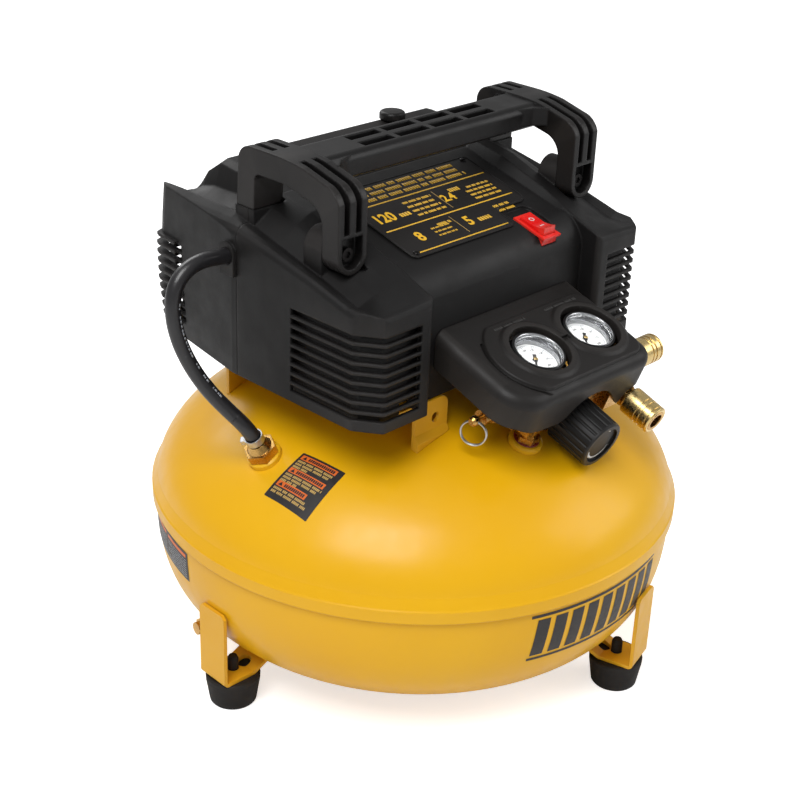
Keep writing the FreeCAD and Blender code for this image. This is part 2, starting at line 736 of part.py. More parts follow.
@piece
def rear_shroud():
    """Rear half with louvres round its corners, hose boss and handle seats."""
    outer = common(shroud_loft(REAR, 0.0), rear_plan(0.0))
    inner = common(shroud_loft(REAR, shroud_t, front=5.0), rear_plan(3.0, 36.0))
    boss = pad("YZ", [(41.4, 327.0), (57.0, 327.0), (57.0, 340.0), ("A", 49.0, 352.0),
                      (41.4, 345.0)], -153.0, -145.5)
    top_z = slot_z + 5.5
    ribs = louvres(10, top_z + slot_pitch * 0.5, 2.3, 105.0, 120.0, 170.0)
    fins = cut(common(rear_plan(-2.6), fuse(*ribs)), rear_plan(2.0, 36.0))
    solid = fuse(cut(outer, inner), boss,
                 *[handle_seat(side, 41.3, 54.8, 350.0, 375.7) for side in SIDES])
    tools = louvres(9, top_z, slot_h, 104.0, 114.0, 170.0)
    tools += [cyl(hose_r + 0.35, 30.0, (-160.0, HOSE_EXIT_Y, HOSE_EXIT_Z), X_AXIS),
              cyl(6.3, 40.0, (CORD_X, 130.0, CORD_Z), Y_AXIS)]
    tools += [handle_seat(side, 41.0, 55.0, 375.7, 430.0) for side in SIDES]
    tools += [cyl(7.05, 30.0, (FILTER_X, FILTER_Y, 370.0))]
    strips = baffles([(-131.6, 100.0), (-126.0, 134.5), (-121.0, 140.0), (-99.5, 140.0),
                      (-99.5, 138.4), (-120.4, 138.4), (-124.6, 133.6), (-130.0, 100.0)],
                     257.0, 392.0)
    return fuse(cut(solid, *tools), fins, common(outer, strips))


# ---- carry handle ------------------------------------------------------
def arch(side):
    """One side arch with its round front toe and weight-saving gaps."""
    x0, x1 = span(side, arch_in, arch_out)
    mid_x = (num(x0) + num(x1)) / 2
    frame = pad("YZ", [(-arm_front, 363.5), (-arm_front, arch_z - 20.0), ("A", -45.6, 408.0),
                       (-36.0, arch_z - 8.2), (-14.0, arch_z - 2.4), ("A", 2.0, 420.5),
                       (14.0, arch_z), (40.0, arch_z), ("A", 47.8, 418.0),
                       (52.0, arch_z - 10.5), (54.0, 376.0), (36.0, 376.0), (35.0, 397.5),
                       ("A", 33.4, 401.6), (29.5, 403.0), (4.0, 403.0), (-20.0, 397.6),
                       ("A", -29.6, 392.6), (-34.0, 384.0), (-34.0, 363.5)], x0, x1)
    toe = pad("XZ", [(x0, 385.0), (x0, 363.2), ("A", mid_x, 349.7), (x1, 363.2), (x1, 385.0)],
              -arm_front, -34.0)
    front_gap = [(-60.0, 379.0), (-38.6, 379.0), (-38.6, 393.0), ("A", -36.2, 399.2),
                 (-30.0, 403.4), (-9.0, 408.4), (-5.0, 411.5), (-5.0, 430.0), (-60.0, 430.0)]
    rear_gap = [(22.0, 430.0), (22.0, 412.5), (25.0, 409.5), (43.0, 409.5), (43.0, 392.0),
                (62.0, 392.0), (62.0, 430.0)]
    gaps = [pad("YZ", gap, mid_x + shift - 2.6, mid_x + shift + 2.6)
            for shift in (-5.5, 5.5) for gap in (front_gap, rear_gap)]
    pocket = pad("XZ", [(mid_x - 9.6, 376.4), (mid_x - 9.6, 364.0), ("A", mid_x, 353.4),
                        (mid_x + 9.6, 364.0), (mid_x + 9.6, 376.4)], -60.0, -42.0)
    drill = cyl(2.9, 40.0, (mid_x, -60.0, HANDLE_SCREW_Z), Y_AXIS)
    rear_drill = cyl(2.9, 22.0, (mid_x, 47.0, 370.0))
    return cut(fuse(frame, toe), pocket, drill, rear_drill, *gaps)


def grip():
    """Cross bar with slots in its top, scallops underneath and flared ends."""
    bar = pad("YZ", [(-10.5, 402.0), ("A", -4.0, 398.3), (6.0, 397.0), (16.0, 398.3),
                     ("A", 23.0, 401.0), (25.5, 407.0), (25.5, 415.0), ("A", 23.4, 418.6),
                     (19.0, 420.0), (-4.0, 419.0), ("A", -9.0, 417.4), (-11.5, 413.0)],
              -arch_in - 1.0, arch_in + 1.0)
    slots = [box(x, x + 31.0, y0, y1, 408.5, 430.0)
             for x in [-70.0 + 35.8 * k for k in range(4)]
             for y0, y1 in ((-5.0, 3.6), (9.2, 17.8))]
    scallops = [cyl(14.0, 60.0, (-88.0 + 22.0 * k, -20.0, 385.6), Y_AXIS) for k in range(9)]
    left = [(-(arch_in + 1.0), -22.0), (-(arch_in - 9.0), -14.0), (-(arch_in - 22.0), -10.0),
            (-(arch_in - 22.0), 24.0), (-(arch_in - 9.0), 27.0), (-(arch_in + 1.0), 33.0)]
    flares = [pad("XY", outline, 403.5, 417.2) for outline in (left, mirrored(left))]
    return cut(fuse(bar, *flares), *(slots + scallops))


node(fuse(arch(-1), arch(1), grip()), "carry_handle")


def screw(head_r, head_h, shank_r, length, pos, axis):
    """A cap screw whose head's underside sits at pos and whose shank runs along axis."""
    ahead = Vector(*axis)
    seat = Vector(*pos)
    head = cut(cyl(head_r, head_h, seat - ahead * head_h, axis),
               hexagon(head_r * 0.52, head_h, seat - ahead * (1.6 * head_h), axis))
    return fuse(head, cyl(shank_r, length, seat, axis))


node(group(*[screw(5.0, 3.4, 2.3, 22.0, (side * HANDLE_SCREW_X, -42.05, HANDLE_SCREW_Z), Y_AXIS)
             for side in SIDES]), "handle_screws")

# ---- rating plate, rocker switch ---------------------------------------
# sloping top of the shroud, where the plates lie
TOP = Placement(Vector(0, 0, 365.75), Rotation(Vector(1, 0, 0), math.degrees(math.atan(0.265))))


@piece
def rating_plate():
    outline = [(-72.0, -57.5), (-69.0, -60.5), (32.0, -60.5), (35.0, -57.5), (35.0, -46.0),
               ("A", 37.0, -40.5), (42.0, -38.3), (66.0, -38.3), ("A", 70.6, -36.4),
               (72.5, -32.0), (72.5, 26.0), (69.5, 29.0), (-69.0, 29.0), (-72.0, 26.0)]
    return put(pad("XY", outline, 0.3, 1.3), TOP)


@piece
def switch_housing():
    flange = pad("XY", rect(-9.6, -17.6, 9.6, 14.6), -2.95, -1.2)
    case = pad("XY", rect(-7.9, -15.9, 7.9, 12.9), -18.0, -2.0)
    well = pad("XY", rect(-6.6, -14.2, 6.6, 11.2), -14.0, 5.0)
    return put(cut(fuse(flange, case), well, cyl(1.3, 15.4, (-7.7, -1.5, -3.0), X_AXIS)), SWITCH)


@piece
def switch_rocker():
    """Rocker tilting on a cross pin."""
    rocker = pad("YZ", [(-12.6, 4.6), ("A", -6.5, 1.9), (-1.0, 0.8), (10.0, 0.2), (10.7, -2.0),
                        (9.5, -5.5), (-1.5, -8.5), (-11.5, -6.5), (-13.8, -2.5), (-13.4, 0.4)],
                 -6.2, 6.2)
    return put(fuse(rocker, cyl(1.2, 15.0, (-7.5, -1.5, -3.0), X_AXIS)), SWITCH)


# ---- intake filter cap and cord strain relief at the rear --------------
node(place(turn([(0, 372.0), (6.9, 372.0), (6.9, 391.4), (10.5, 391.4), (10.5, 395.0),
                 ("A", 9.8, 396.8), (8.0, 397.6), (0, 398.0)]), (FILTER_X, FILTER_Y, 0)),
     "intake_filter_cap")


@piece
def cord_strain_relief():
    sleeve = fuse(cyl(6.2, 11.0, (CORD_X, 142.0, CORD_Z), Y_AXIS),
                  cone(8.5, 5.8, 15.0, (CORD_X, 150.6, CORD_Z), Y_AXIS),
                  cyl(9.5, 2.5, (CORD_X, 150.6, CORD_Z), Y_AXIS))
    return cut(sleeve, cyl(4.05, 60.0, (CORD_X, 130.0, CORD_Z), Y_AXIS))


# ---- pump: frame, cylinder, crank, motor -------------------------------
cylinder_x = 9.0


def axle(radius, length, x, y, z=shaft_z):
    """Cylinder along +X from x, at shaft height unless told otherwise."""
    return cyl(radius, length, (x, y, z), X_AXIS)


def barrel(radius, length, y, x=cylinder_x):
    """Cylinder along +Y from y, at shaft height."""
    return cyl(radius, length, (x, y, shaft_z), Y_AXIS)


def axle_ring(radius, length, x, y, ring_r):
    """Six cylinders along +X on a circle round a shaft."""
    angles = [math.radians(60 * k) for k in range(6)]
    return [axle(radius, length, x, y + ring_r * math.cos(a), shaft_z + ring_r * math.sin(a))
            for a in angles]


@piece
def pump_frame():
    base = box(-115.0, 115.0, -58.0, 112.0, 262.0, 267.0)
    upright = pad("XY", rect(-34.0, -6.0, -22.0, 46.0), 266.0, shaft_z)
    cradles = [box(-20.0, 38.0, y, y + 6.0, 266.0, 300.0) for y in (-54.0, -36.0)]
    cradles += [box(x, x + 8.0, motor_y - 26.0, motor_y + 26.0, 266.0, 292.0)
                for x in (-26.0, 56.0)]
    tools = [axle(11.05, 40.0, -45.0, crank_y), barrel(28.1, 60.0, -70.0),
             axle(34.1, 200.0, -60.0, motor_y)]
    tools += [cyl(3.3, 20.0, (x, y, 255.0)) for x, y in MOUNTS]
    tools += [box(-90.0, -44.0, -30.0, 112.5, 255.0, 270.0),
              box(66.0, 108.0, 56.0, 113.0, 255.0, 270.0)]
    return cut(fuse(base, upright, axle(26.0, 12.0, -34.0, crank_y), *cradles), *tools)


node(group(*[screw(6.0, 4.0, 3.2, 14.0, (x, y, 267.05), (0, 0, -1)) for x, y in MOUNTS]),
     "frame_screws")
node(group(*[cut(cyl(9.0, 0.9, (x, y, 261.05)), cyl(3.4, 3.0, (x, y, 260.5)))
             for x, y in MOUNTS]), "frame_isolators")
node(cut(axle(11.0, 12.0, -34.0, crank_y), axle(6.06, 20.0, -38.0, crank_y)), "crank_bearing")
node(cut(fuse(barrel(28.0, 34.0, -58.0), barrel(31.5, 2.0, -57.0), barrel(31.5, 2.0, -42.0)),
         barrel(bore_r, 60.0, -70.0)), "cylinder")
node(cut(box(-22.0, 40.0, -62.0, -58.05, shaft_z - 31.0, shaft_z + 31.0),
         barrel(4.0, 20.0, -70.0, 0.0), barrel(4.0, 20.0, -70.0, 18.0)), "valve_plate")


@piece
def cylinder_head():
    fins = [box(-22.0, 40.0, -74.0, -66.0, shaft_z - 27.0 + 10.0 * k, shaft_z - 24.0 + 10.0 * k)
            for k in range(6)]
    core = cut(box(-18.0, 36.0, -68.0, -62.05, shaft_z - 27.0, shaft_z + 26.0),
               *[box(x, x + 19.0, -64.5, -60.0, shaft_z - 20.0, shaft_z + 20.0)
                 for x in (-12.0, 11.0)])
    return fuse(core, *fins)


@piece
def piston_rod():
    ring = cut(axle(12.0, 10.0, 4.0, crank_y), axle(6.8, 20.0, 0.0, crank_y))
    beam = cut(box(5.5, 12.5, -30.0, crank_y - 8.0, shaft_z - 5.0, shaft_z + 5.0),
               axle(8.0, 20.0, 0.0, crank_y))
    return fuse(ring, beam, barrel(bore_r - 0.06, 12.0, -41.0))


@piece
def crankshaft():
    weight = pad("YZ", [(crank_y - 19.0, shaft_z - 6.0), (crank_y + 19.0, shaft_z - 6.0),
                        (crank_y + 19.0, shaft_z - 16.0), (crank_y, shaft_z - 30.0),
                        (crank_y - 19.0, shaft_z - 16.0)], -19.0, -13.0)
    return fuse(axle(6.0, 44.0, -63.0, crank_y), axle(20.0, 8.0, -20.0, crank_y), weight,
                axle(5.0, 15.0, -12.0, crank_y, shaft_z + crank_throw))


def pulley(radius, y, shaft_bore, *holes):
    return cut(fuse(axle(radius, 12.0, -62.0, y), axle(radius + 1.5, 1.2, -63.2, y),
                    axle(radius + 1.5, 1.2, -50.0, y)),
               axle(shaft_bore, 40.0, -80.0, y), *holes)


node(pulley(crank_pulley_r, crank_y, 6.02, *axle_ring(6.0, 20.0, -66.0, crank_y, 21.0)),
     "crank_pulley")


def belt_loop(grow):
    """Solid round both pulleys, grown outwards by grow."""
    y1, r1 = num(crank_y), num(crank_pulley_r) + grow
    y2, r2 = num(motor_y), num(motor_pulley_r) + grow
    wrap = math.acos((r1 - r2) / (y2 - y1))

    def point(y, radius, angle):
        return Vector(-61.0, y + radius * math.cos(angle),
                      num(shaft_z) + radius * math.sin(angle))

    big = [point(y1, r1, angle) for angle in (wrap, math.pi, -wrap)]
    small = [point(y2, r2, angle) for angle in (-wrap, 0, wrap)]
    edges = [Part.Arc(*big).toShape(), Part.makeLine(big[2], small[0]),
             Part.Arc(*small).toShape(), Part.makeLine(small[2], big[0])]
    return Part.Face(Part.Wire(edges)).extrude(Vector(10.0, 0, 0))


node(free(belt_loop(1.2).cut(belt_loop(0.1))), "drive_belt")
node(cut(axle(34.0, 100.0, -30.0, motor_y), axle(25.0, 92.0, -26.0, motor_y),
         axle(4.08, 120.0, -40.0, motor_y), *axle_ring(4.0, 130.0, -45.0, motor_y, 15.0)),
     "motor_stator")
node(fuse(axle(4.0, 164.0, -66.0, motor_y), axle(24.0, 56.0, -12.0, motor_y),
          axle(12.0, 12.0, 48.0, motor_y)), "motor_rotor")
node(pulley(motor_pulley_r, motor_y, 4.02), "motor_pulley")


@piece
def cooling_fan():
    hub = Vector(83.0, num(motor_y), num(shaft_z))
    pitch = Placement(Vector(0, 0, 0), Rotation(Vector(0, 1, 0), 24.0))
    blades = []
    for k in range(9):
        blade = box(0.0, 11.0, 8.0, 34.0, -0.8, 0.8)
        turned = Placement(hub, Rotation(Vector(1, 0, 0), 40.0 * k))
        blades.append(put(blade, turned.multiply(pitch).multiply(blade.Placement)))
    return cut(fuse(axle(10.0, 12.0, 82.0, motor_y), *blades), axle(4.02, 40.0, 70.0, motor_y))


# ---- console group -----------------------------------------------------
# It is modelled level and then tipped forward as a whole: x stays x, v runs
# to the rear along the console's top, w is its normal.
CONSOLE = Placement(Vector(0, num(console_y), num(console_z)),
                    Rotation(Vector(1, 0, 0), num(tilt)))


def tipped(obj):
    obj.Placement = CONSOLE
    bind(obj, "Placement.Base.y", console_y)
    bind(obj, "Placement.Base.z", console_z)
    bind(obj, "Placement.Rotation.Angle", tilt)
    return obj


def to_console(direction):
    return CONSOLE.Rotation.inverted().multVec(direction)


# the safety valve lies along x on this line
VALVE_V, VALVE_W = -53.0, -46.0


def valve_rod(radius, length, x):
    return cyl(radius, length, (x, VALVE_V, VALVE_W), X_AXIS)


def valve_cone(r1, r2, x):
    return cone(r1, r2, 1.8, (x, VALVE_V, VALVE_W), X_AXIS)


@piece
def manifold_block():
    block = fuse(box(-26.0, 74.0, -78.0, -52.0, -58.0, -34.5),
                 box(-30.0, -2.0, -66.0, -38.0, -58.0, -34.5),
                 box(62.5, 73.2, -84.0, -64.5, -40.0, -9.0),
                 box(52.0, 74.0, -86.0, -70.0, -54.0, -34.5))
    inlet = CONSOLE.inverse().multVec(nipple_port)
    inlet_dir = to_console(nipple_dir)
    return tipped(cut(block, cyl(7.0, 40.0, (knob_x, -90.0, knob_w), Y_AXIS),
                      cyl(6.0, 24.0, (coupler_x, -102.0, coupler_w), Y_AXIS),
                      cyl(6.0, 20.0, (63.5, side_v, side_w), X_AXIS), valve_rod(5.0, 20.0, -40.0),
                      cyl(6.1, 40.0, inlet - inlet_dir * 21.8, inlet_dir)))


node(tipped(fuse(cyl(16.0, 10.0, (knob_x, -88.2, knob_w), Y_AXIS),
                 cyl(6.9, 22.0, (knob_x, -82.0, knob_w), Y_AXIS),
                 cyl(4.0, 22.0, (knob_x, -109.0, knob_w), Y_AXIS))), "regulator_body")


@piece
def regulator_knob():
    """Hollow knob with a dished front and grooves round its rim."""
    knob = turn([(0, 0.0), (18.2, 0.0), (19.2, 0.8), (19.6, 2.4), (knob_r, 36.0), (17.4, 36.0),
                 (17.4, 6.0), (4.15, 6.0), (4.15, 4.0), (0, 4.0)])
    place(knob, (knob_x, -115.5, knob_w), Y_AXIS)
    dish = cyl(15.4, 3.0, (knob_x, -116.5, knob_w), Y_AXIS)
    grooves = []
    ring_r = num(knob_r) + 0.35
    for k in range(22):
        angle = math.radians(360.0 / 22 * k)
        grooves.append(cyl(1.45, 33.0, (num(knob_x) + ring_r * math.cos(angle), -113.4,
                                        num(knob_w) + ring_r * math.sin(angle)), Y_AXIS))
    return tipped(cut(knob, dish, *grooves))


def coupler(name, pos, axis):
    """Quick coupler: fixed body with its socket, and the sleeve sliding on it."""
    def at(distance):
        return Vector(*pos) + Vector(*axis) * distance

    body = cut(fuse(cyl(5.9, 9.6, at(-8.9), axis), hexagon(9.0, 3.0, at(0.2), axis),
                    cyl(8.4, 30.0, at(3.0), axis)),
               cyl(socket_r, 24.0, at(10.0), axis), cyl(3.5, 30.0, at(-10.0), axis))
    # raised bands of the sleeve: start, length
    bands = [cyl(coupler_r, length, at(start), axis)
             for start, length in ((7.2, 12.0), (20.6, 2.6), (24.8, 4.2), (30.2, 1.6))]
    sleeve = cut(fuse(cyl(coupler_r - 0.7, 26.2, at(6.2), axis),
                      cone(coupler_r - 0.6, coupler_r, 1.0, at(6.2), axis), *bands,
                      cone(coupler_r, coupler_r - 1.0, 1.0, at(31.8), axis)),
                 cyl(8.48, 40.0, at(0.0), axis))
    node(tipped(body), name + "_body")
    node(tipped(sleeve), name + "_sleeve")


coupler("front_coupler", (num(coupler_x), -88.3, num(coupler_w)), (0, -1, 0))
coupler("side_coupler", (73.5, num(side_v), num(side_w)), X_AXIS)


def gauge(x, name):
    def disc(radius, height, w):
        return cyl(radius, height, (x, gauge_v, w))

    rim = torus(gauge_r - 0.9, 0.9, (x, gauge_v, 0.0))
    case = cut(fuse(disc(gauge_r, 20.0, -20.0), rim), disc(gauge_r - 3.0, 20.0, -10.2))
    stem = fuse(hexagon(7.0, 5.6, (x, gauge_v, -25.5)), disc(5.0, 8.7, -33.8))
    node(tipped(fuse(case, stem)), name + "_gauge_case")
    node(tipped(cut(disc(gauge_r - 3.1, 1.0, -10.1), disc(1.1, 5.0, -12.0))),
         name + "_gauge_dial")
    needle = pad("XY", [(-1.3, -5.6), (1.3, -5.6), (1.1, -3.0), (0.7, 0.0), (0.25, 12.6),
                        (-0.25, 12.6), (-0.7, 0.0), (-1.1, -3.0)], 0.0, 0.6)
    put(needle, Placement(Vector(num(x), num(gauge_v), -8.5), Rotation(Vector(0, 0, 1), 142.0)))
    node(tipped(fuse(needle, disc(2.0, 1.4, -8.7), disc(1.0, 2.0, -10.1))),
         name + "_gauge_needle")
    # grouped, so that tipping doesn't replace the disc's own placement
    node(tipped(group(disc(gauge_r - 3.1, 1.2, -2.2))), name + "_gauge_lens")


gauge(tank_gauge_x, "tank")
gauge(outlet_gauge_x, "outlet")

# pressure switch box under the console
node(tipped(fuse(box(-63.0, -36.0, -44.0, -18.0, -30.0, -7.0),
                 cyl(4.0, 9.0, (-45.0, -35.0, -38.0)))), "pressure_switch")

# safety valve on the left end of the manifold, with its pull stem
node(tipped(cut(fuse(valve_rod(4.9, 9.4, -39.3),
                     hexagon(7.6, 7.0, (-46.0, VALVE_V, VALVE_W), X_AXIS),
                     valve_rod(6.0, 9.6, -55.6)), valve_rod(2.2, 40.0, -60.0))),
     "safety_valve_body")
ring_hole = Vector(-62.5, VALVE_V, VALVE_W)


@piece
def safety_valve_stem():
    stem = fuse(valve_rod(2.1, 22.0, -62.0), valve_cone(2.4, 3.9, -66.2),
                valve_rod(3.9, 3.8, -64.4), valve_cone(3.9, 2.4, -60.6))
    through = to_console(Vector(-0.436, 0.9, 0.0))
    return tipped(cut(stem, cyl(1.9, 16.0, ring_hole - through * 8.0, through)))


@piece
def console_cover():
    outside = pad("XY", [(-71.0, 8.0), (-71.0, -65.0), ("A", -63.4, -83.4), (-45.0, -91.0),
                         (66.5, -93.0), ("A", 76.4, -88.9), (80.5, -79.0), (80.5, 8.0)],
                  -58.0, -0.6)
    soften(outside, 9.0, lambda p: abs(p.z + 0.6) < 0.1 and p.y < 7.5)
    cavity = pad("XY", [(-68.2, 12.0), (-68.2, -65.0), ("A", -61.4, -81.4), (-45.0, -88.2),
                        (66.5, -90.2), ("A", 74.4, -86.9), (77.7, -79.0), (77.7, 12.0)],
                 -62.0, -3.4)
    soften(cavity, 6.4, lambda p: abs(p.z + 3.4) < 0.1 and p.y < 11.5)
    raised = pad("XY", [(-33.0, -14.4), ("A", -54.8, -50.0), (-39.0, -83.0), (-33.0, -85.0),
                        (60.0, -86.0), ("A", 69.0, -82.4), (73.0, -74.0), (73.0, -24.0),
                        ("A", 70.4, -17.4), (64.0, -14.4)], -2.2, 1.7)
    soften(raised, 1.6, lambda p: abs(p.z - 1.7) < 0.1)
    gauge_xs = (tank_gauge_x, outlet_gauge_x)
    rings = [cone(31.6, 28.2, 2.2, (x, gauge_v, 1.2)) for x in gauge_xs]
    ring_trim = box(-54.0, 73.0, -86.0, -14.4, -5.0, 10.0)
    notch_x = (tank_gauge_x + outlet_gauge_x) / 2.0
    notch = box(notch_x - 4.0, notch_x + 4.0, gauge_v - 2.0, gauge_v + 2.0, 0.8, 10.0)
    # groove that runs round the left and front left of the raised part
    groove = cut(cyl(44.8, 6.0, (tank_gauge_x, gauge_v, -2.4)),
                 cyl(42.9, 8.0, (tank_gauge_x, gauge_v, -3.0)),
                 box(-28.0, 90.0, -110.0, 20.0, -5.0, 8.0),
                 box(-90.0, 90.0, -25.0, 20.0, -5.0, 8.0))
    # everything under the shaped lower edge, and behind the sloping rear edge
    below = pad("XZ", [(-75.0, -27.0), (-61.0, -26.9), ("A", -50.0, -30.4), (-38.9, -32.8),
                       (-17.0, -34.4), (-10.0, -31.5), ("A", 15.0, -17.2), (40.4, -28.7),
                       (52.6, -41.5), (54.2, -41.5), (58.5, -36.2), (75.1, -33.5),
                       (92.0, -33.0), (92.0, -70.0), (-75.0, -70.0)], -110.0, 12.0)
    behind = pad("YZ", [(4.4, 13.0), (60.0, 13.0), (60.0, -70.0), (-25.8, -70.0)], -90.0, 100.0)
    windows = [cyl(23.7, 40.0, (x, gauge_v, -20.0)) for x in gauge_xs]
    return tipped(cut(fuse(cut(outside, cavity), raised, common(fuse(*rings), ring_trim)),
                      *windows, below, behind, groove, notch,
                      cyl(12.6, 60.0, (coupler_x, -130.0, coupler_w), Y_AXIS),
                      cyl(12.0, 60.0, (70.0, side_v, side_w), X_AXIS)))


@piece
def manifold_nipple():
    """Brass nipple from the tank bung to the manifold."""
    outside = fuse(cyl(6.9, 12.0, nipple_port - nipple_dir * 6.0, nipple_dir),
                   hexagon(9.5, 5.0, nipple_port + nipple_dir * 4.6, nipple_dir),
                   cyl(6.0, 12.0, nipple_port + nipple_dir * 6.0, nipple_dir))
    return cut(outside, cyl(3.5, 40.0, nipple_port - nipple_dir * 10.0, nipple_dir))


@piece
def pull_ring():
    """Split ring hanging from the safety valve's stem."""
    ring_r = 9.6
    axis = Vector(0.9, 0.436, 0.0)
    centre = CONSOLE.multVec(ring_hole) - Vector(0, 0, ring_r)
    return fuse(*[torus(ring_r, 0.75, centre + axis * shift, axis) for shift in (-0.6, 0.6)])


# ---- delivery hose and its fittings ------------------------------------
# points the hose passes between the shroud's boss and the check valve
HOSE_MID = [(-168.4, 49.0, 342.9), (-186.0, 49.2, 340.4), (-197.4, 49.0, 331.0),
            (-202.0, 48.0, 314.5), (-201.2, 45.5, 297.0), (-197.2, 41.0, 279.5),
            (-191.0, 34.5, 262.8), (-184.0, 26.5, 248.8), (-175.8, 16.5, 235.6)]


def sweep(edges, radius, start, direction):
    """Round bar along a path."""
    ring = Part.Wire([Part.makeCircle(radius, start, direction)])
    return free(Part.Wire(edges).makePipeShell([ring], True, True))


@piece
def delivery_hose():
    points = [Vector(-146.2, HOSE_EXIT_Y, HOSE_EXIT_Z), Vector(-153.5, HOSE_EXIT_Y, 341.8)]
    points += [Vector(*p) for p in HOSE_MID] + [hose_port + hose_dir * 16.4]
    curve = Part.BSplineCurve()
    curve.interpolate(Points=points, InitialTangent=Vector(-1.0, 0, 0),
                      FinalTangent=hose_dir * -1.0)
    return sweep([curve.toShape()], num(hose_r), points[0], Vector(-1, 0, 0))


@piece
def check_valve():
    outside = fuse(cyl(6.9, 10.6, hose_port - hose_dir * 5.6, hose_dir),
                   hexagon(12.6, 7.0, hose_port + hose_dir * 4.5, hose_dir),
                   cone(9.6, 6.6, 5.0, hose_port + hose_dir * 11.3, hose_dir))
    return cut(outside, cyl(4.0, 40.0, hose_port - hose_dir * 10.0, hose_dir))


@piece
def hose_clamp():
    clamp = cut(fuse(cyl(7.1, 5.6, (0, 0, 18.0)), box(6.4, 10.2, -2.3, 2.3, 18.8, 22.8)),
                cyl(hose_r + 0.55, 20.0, (0, 0, 14.0)))
    ear = Vector(-0.687, 0.726, 0.0)
    ear = (ear - hose_dir * ear.dot(hose_dir)).normalize()
    return put(clamp, Placement(hose_port, Rotation(ear, hose_dir.cross(ear), hose_dir, "ZXY")))


# rear plate on the hump
node(put(pad("XY", [(-66.0, 47.0), (64.0, 47.0), (66.0, 49.0), (66.0, 74.0), (64.0, 76.0),
                    (-66.0, 76.0), (-68.0, 74.0), (-68.0, 49.0)], 0.25, 0.9), TOP), "rear_plate")

# ---- mains cord and plug -----------------------------------------------
# corners of the cord over the tank: angle, radius, height above the tank
CORD_OVER_TANK = ((66.0, 199.0, 22.0), (55.0, 183.0, 7.4), (44.0, 170.0, 8.6),
                  (31.0, 166.0, 13.5))
cord_points = [Vector(CORD_X, 140.0, CORD_Z), Vector(CORD_X, 184.0, CORD_Z)]
for degrees, radius, above in CORD_OVER_TANK:
    cord_points.append(Vector(radius * math.cos(math.radians(degrees)),
                              radius * math.sin(math.radians(degrees)),
                              tank_top(radius)[0] + above))


def rounded_path(points):
    """Straight runs through the points, with an arc at each inner corner."""
    edges, start = [], points[0]
    for before, corner, after in zip(points, points[1:], points[2:]):
        back, ahead = before - corner, after - corner
        reach = 0.46 * min(back.Length, ahead.Length)
        back.normalize()
        ahead.normalize()
        half = back.getAngle(ahead) / 2.0
        bisector = (back + ahead).normalize()
        radius = reach * math.tan(half)
        middle = corner + bisector * (radius / math.sin(half) - radius)
        arc_start, arc_end = corner + back * reach, corner + ahead * reach
        edges += [Part.makeLine(start, arc_start),
                  Part.Arc(arc_start, middle, arc_end).toShape()]
        start = arc_end
    return edges + [Part.makeLine(start, points[-1])]


node(sweep(rounded_path(cord_points), 3.7, cord_points[0], Vector(0, 1, 0)), "power_cord")


@piece
def mains_plug():
    end = cord_points[-1]
    ahead = (end - cord_points[-2]).normalize()
    plug = fuse(cone(4.6, 7.5, 16.0, end - ahead * 4.0, ahead),
                cyl(10.5, 16.0, end + ahead * 11.9, ahead))
    across = ahead.cross(Vector(0, 0, 1)).normalize()
    pins = [cyl(1.6, 17.0, end + ahead * 27.8 + across * shift, ahead) for shift in (-5.0, 5.0)]
    return cut(fuse(plug, *pins), cyl(3.85, 12.0, end - ahead * 11.9, ahead))


# ---- checks and export -------------------------------------------------
doc.recompute()
faults = ["%s (%s): %s %s" % (obj.Name, obj.Label, obj.State, obj.getStatusString())
          for obj in doc.Objects if "Invalid" in obj.State or "Error" in obj.State]
labels = set()
for obj in pieces:
    shape = obj.Shape
    if shape.isNull() or not shape.isValid() or not shape.Solids:
        faults.append("shape of %s" % obj.Label)
    if obj.Label in labels or len(obj.Label) >= 60:
        faults.append("name %s" % obj.Label)
    labels.add(obj.Label)
if faults:
    raise RuntimeError("model is not sound:\n" + "\n".join(faults))
os.makedirs("parts", exist_ok=True)
for obj in pieces:
    obj.Shape.exportStep(os.path.join("parts", obj.Label + ".step"))
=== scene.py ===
import math

import bpy
from mathutils import Matrix, Vector
from mathutils.bvhtree import BVHTree


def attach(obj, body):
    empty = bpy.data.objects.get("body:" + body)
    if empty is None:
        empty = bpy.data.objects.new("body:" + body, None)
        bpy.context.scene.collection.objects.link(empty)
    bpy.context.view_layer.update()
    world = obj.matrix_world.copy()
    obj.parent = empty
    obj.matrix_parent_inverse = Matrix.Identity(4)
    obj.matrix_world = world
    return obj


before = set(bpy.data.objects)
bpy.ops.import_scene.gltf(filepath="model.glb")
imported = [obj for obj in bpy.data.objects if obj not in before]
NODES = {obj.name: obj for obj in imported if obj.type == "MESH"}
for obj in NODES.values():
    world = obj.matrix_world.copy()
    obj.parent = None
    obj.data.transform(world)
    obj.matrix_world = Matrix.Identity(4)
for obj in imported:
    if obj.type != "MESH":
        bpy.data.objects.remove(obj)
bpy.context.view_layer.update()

MM = 0.001  # places are in millimetres unless said otherwise
scene = bpy.context.scene
materials = {}


# ---------------------------------------------------------------- shader building
def srgb(red, green, blue):
    """An 8-bit sRGB colour as linear RGBA."""
    def linear(channel):
        channel = channel / 255.0
        return channel / 12.92 if channel <= 0.04045 else ((channel + 0.055) / 1.055) ** 2.4
    return (linear(red), linear(green), linear(blue), 1.0)


def scaled(colour, gain):
    return tuple(min(1.0, channel * gain) for channel in colour[:3]) + (1.0,)


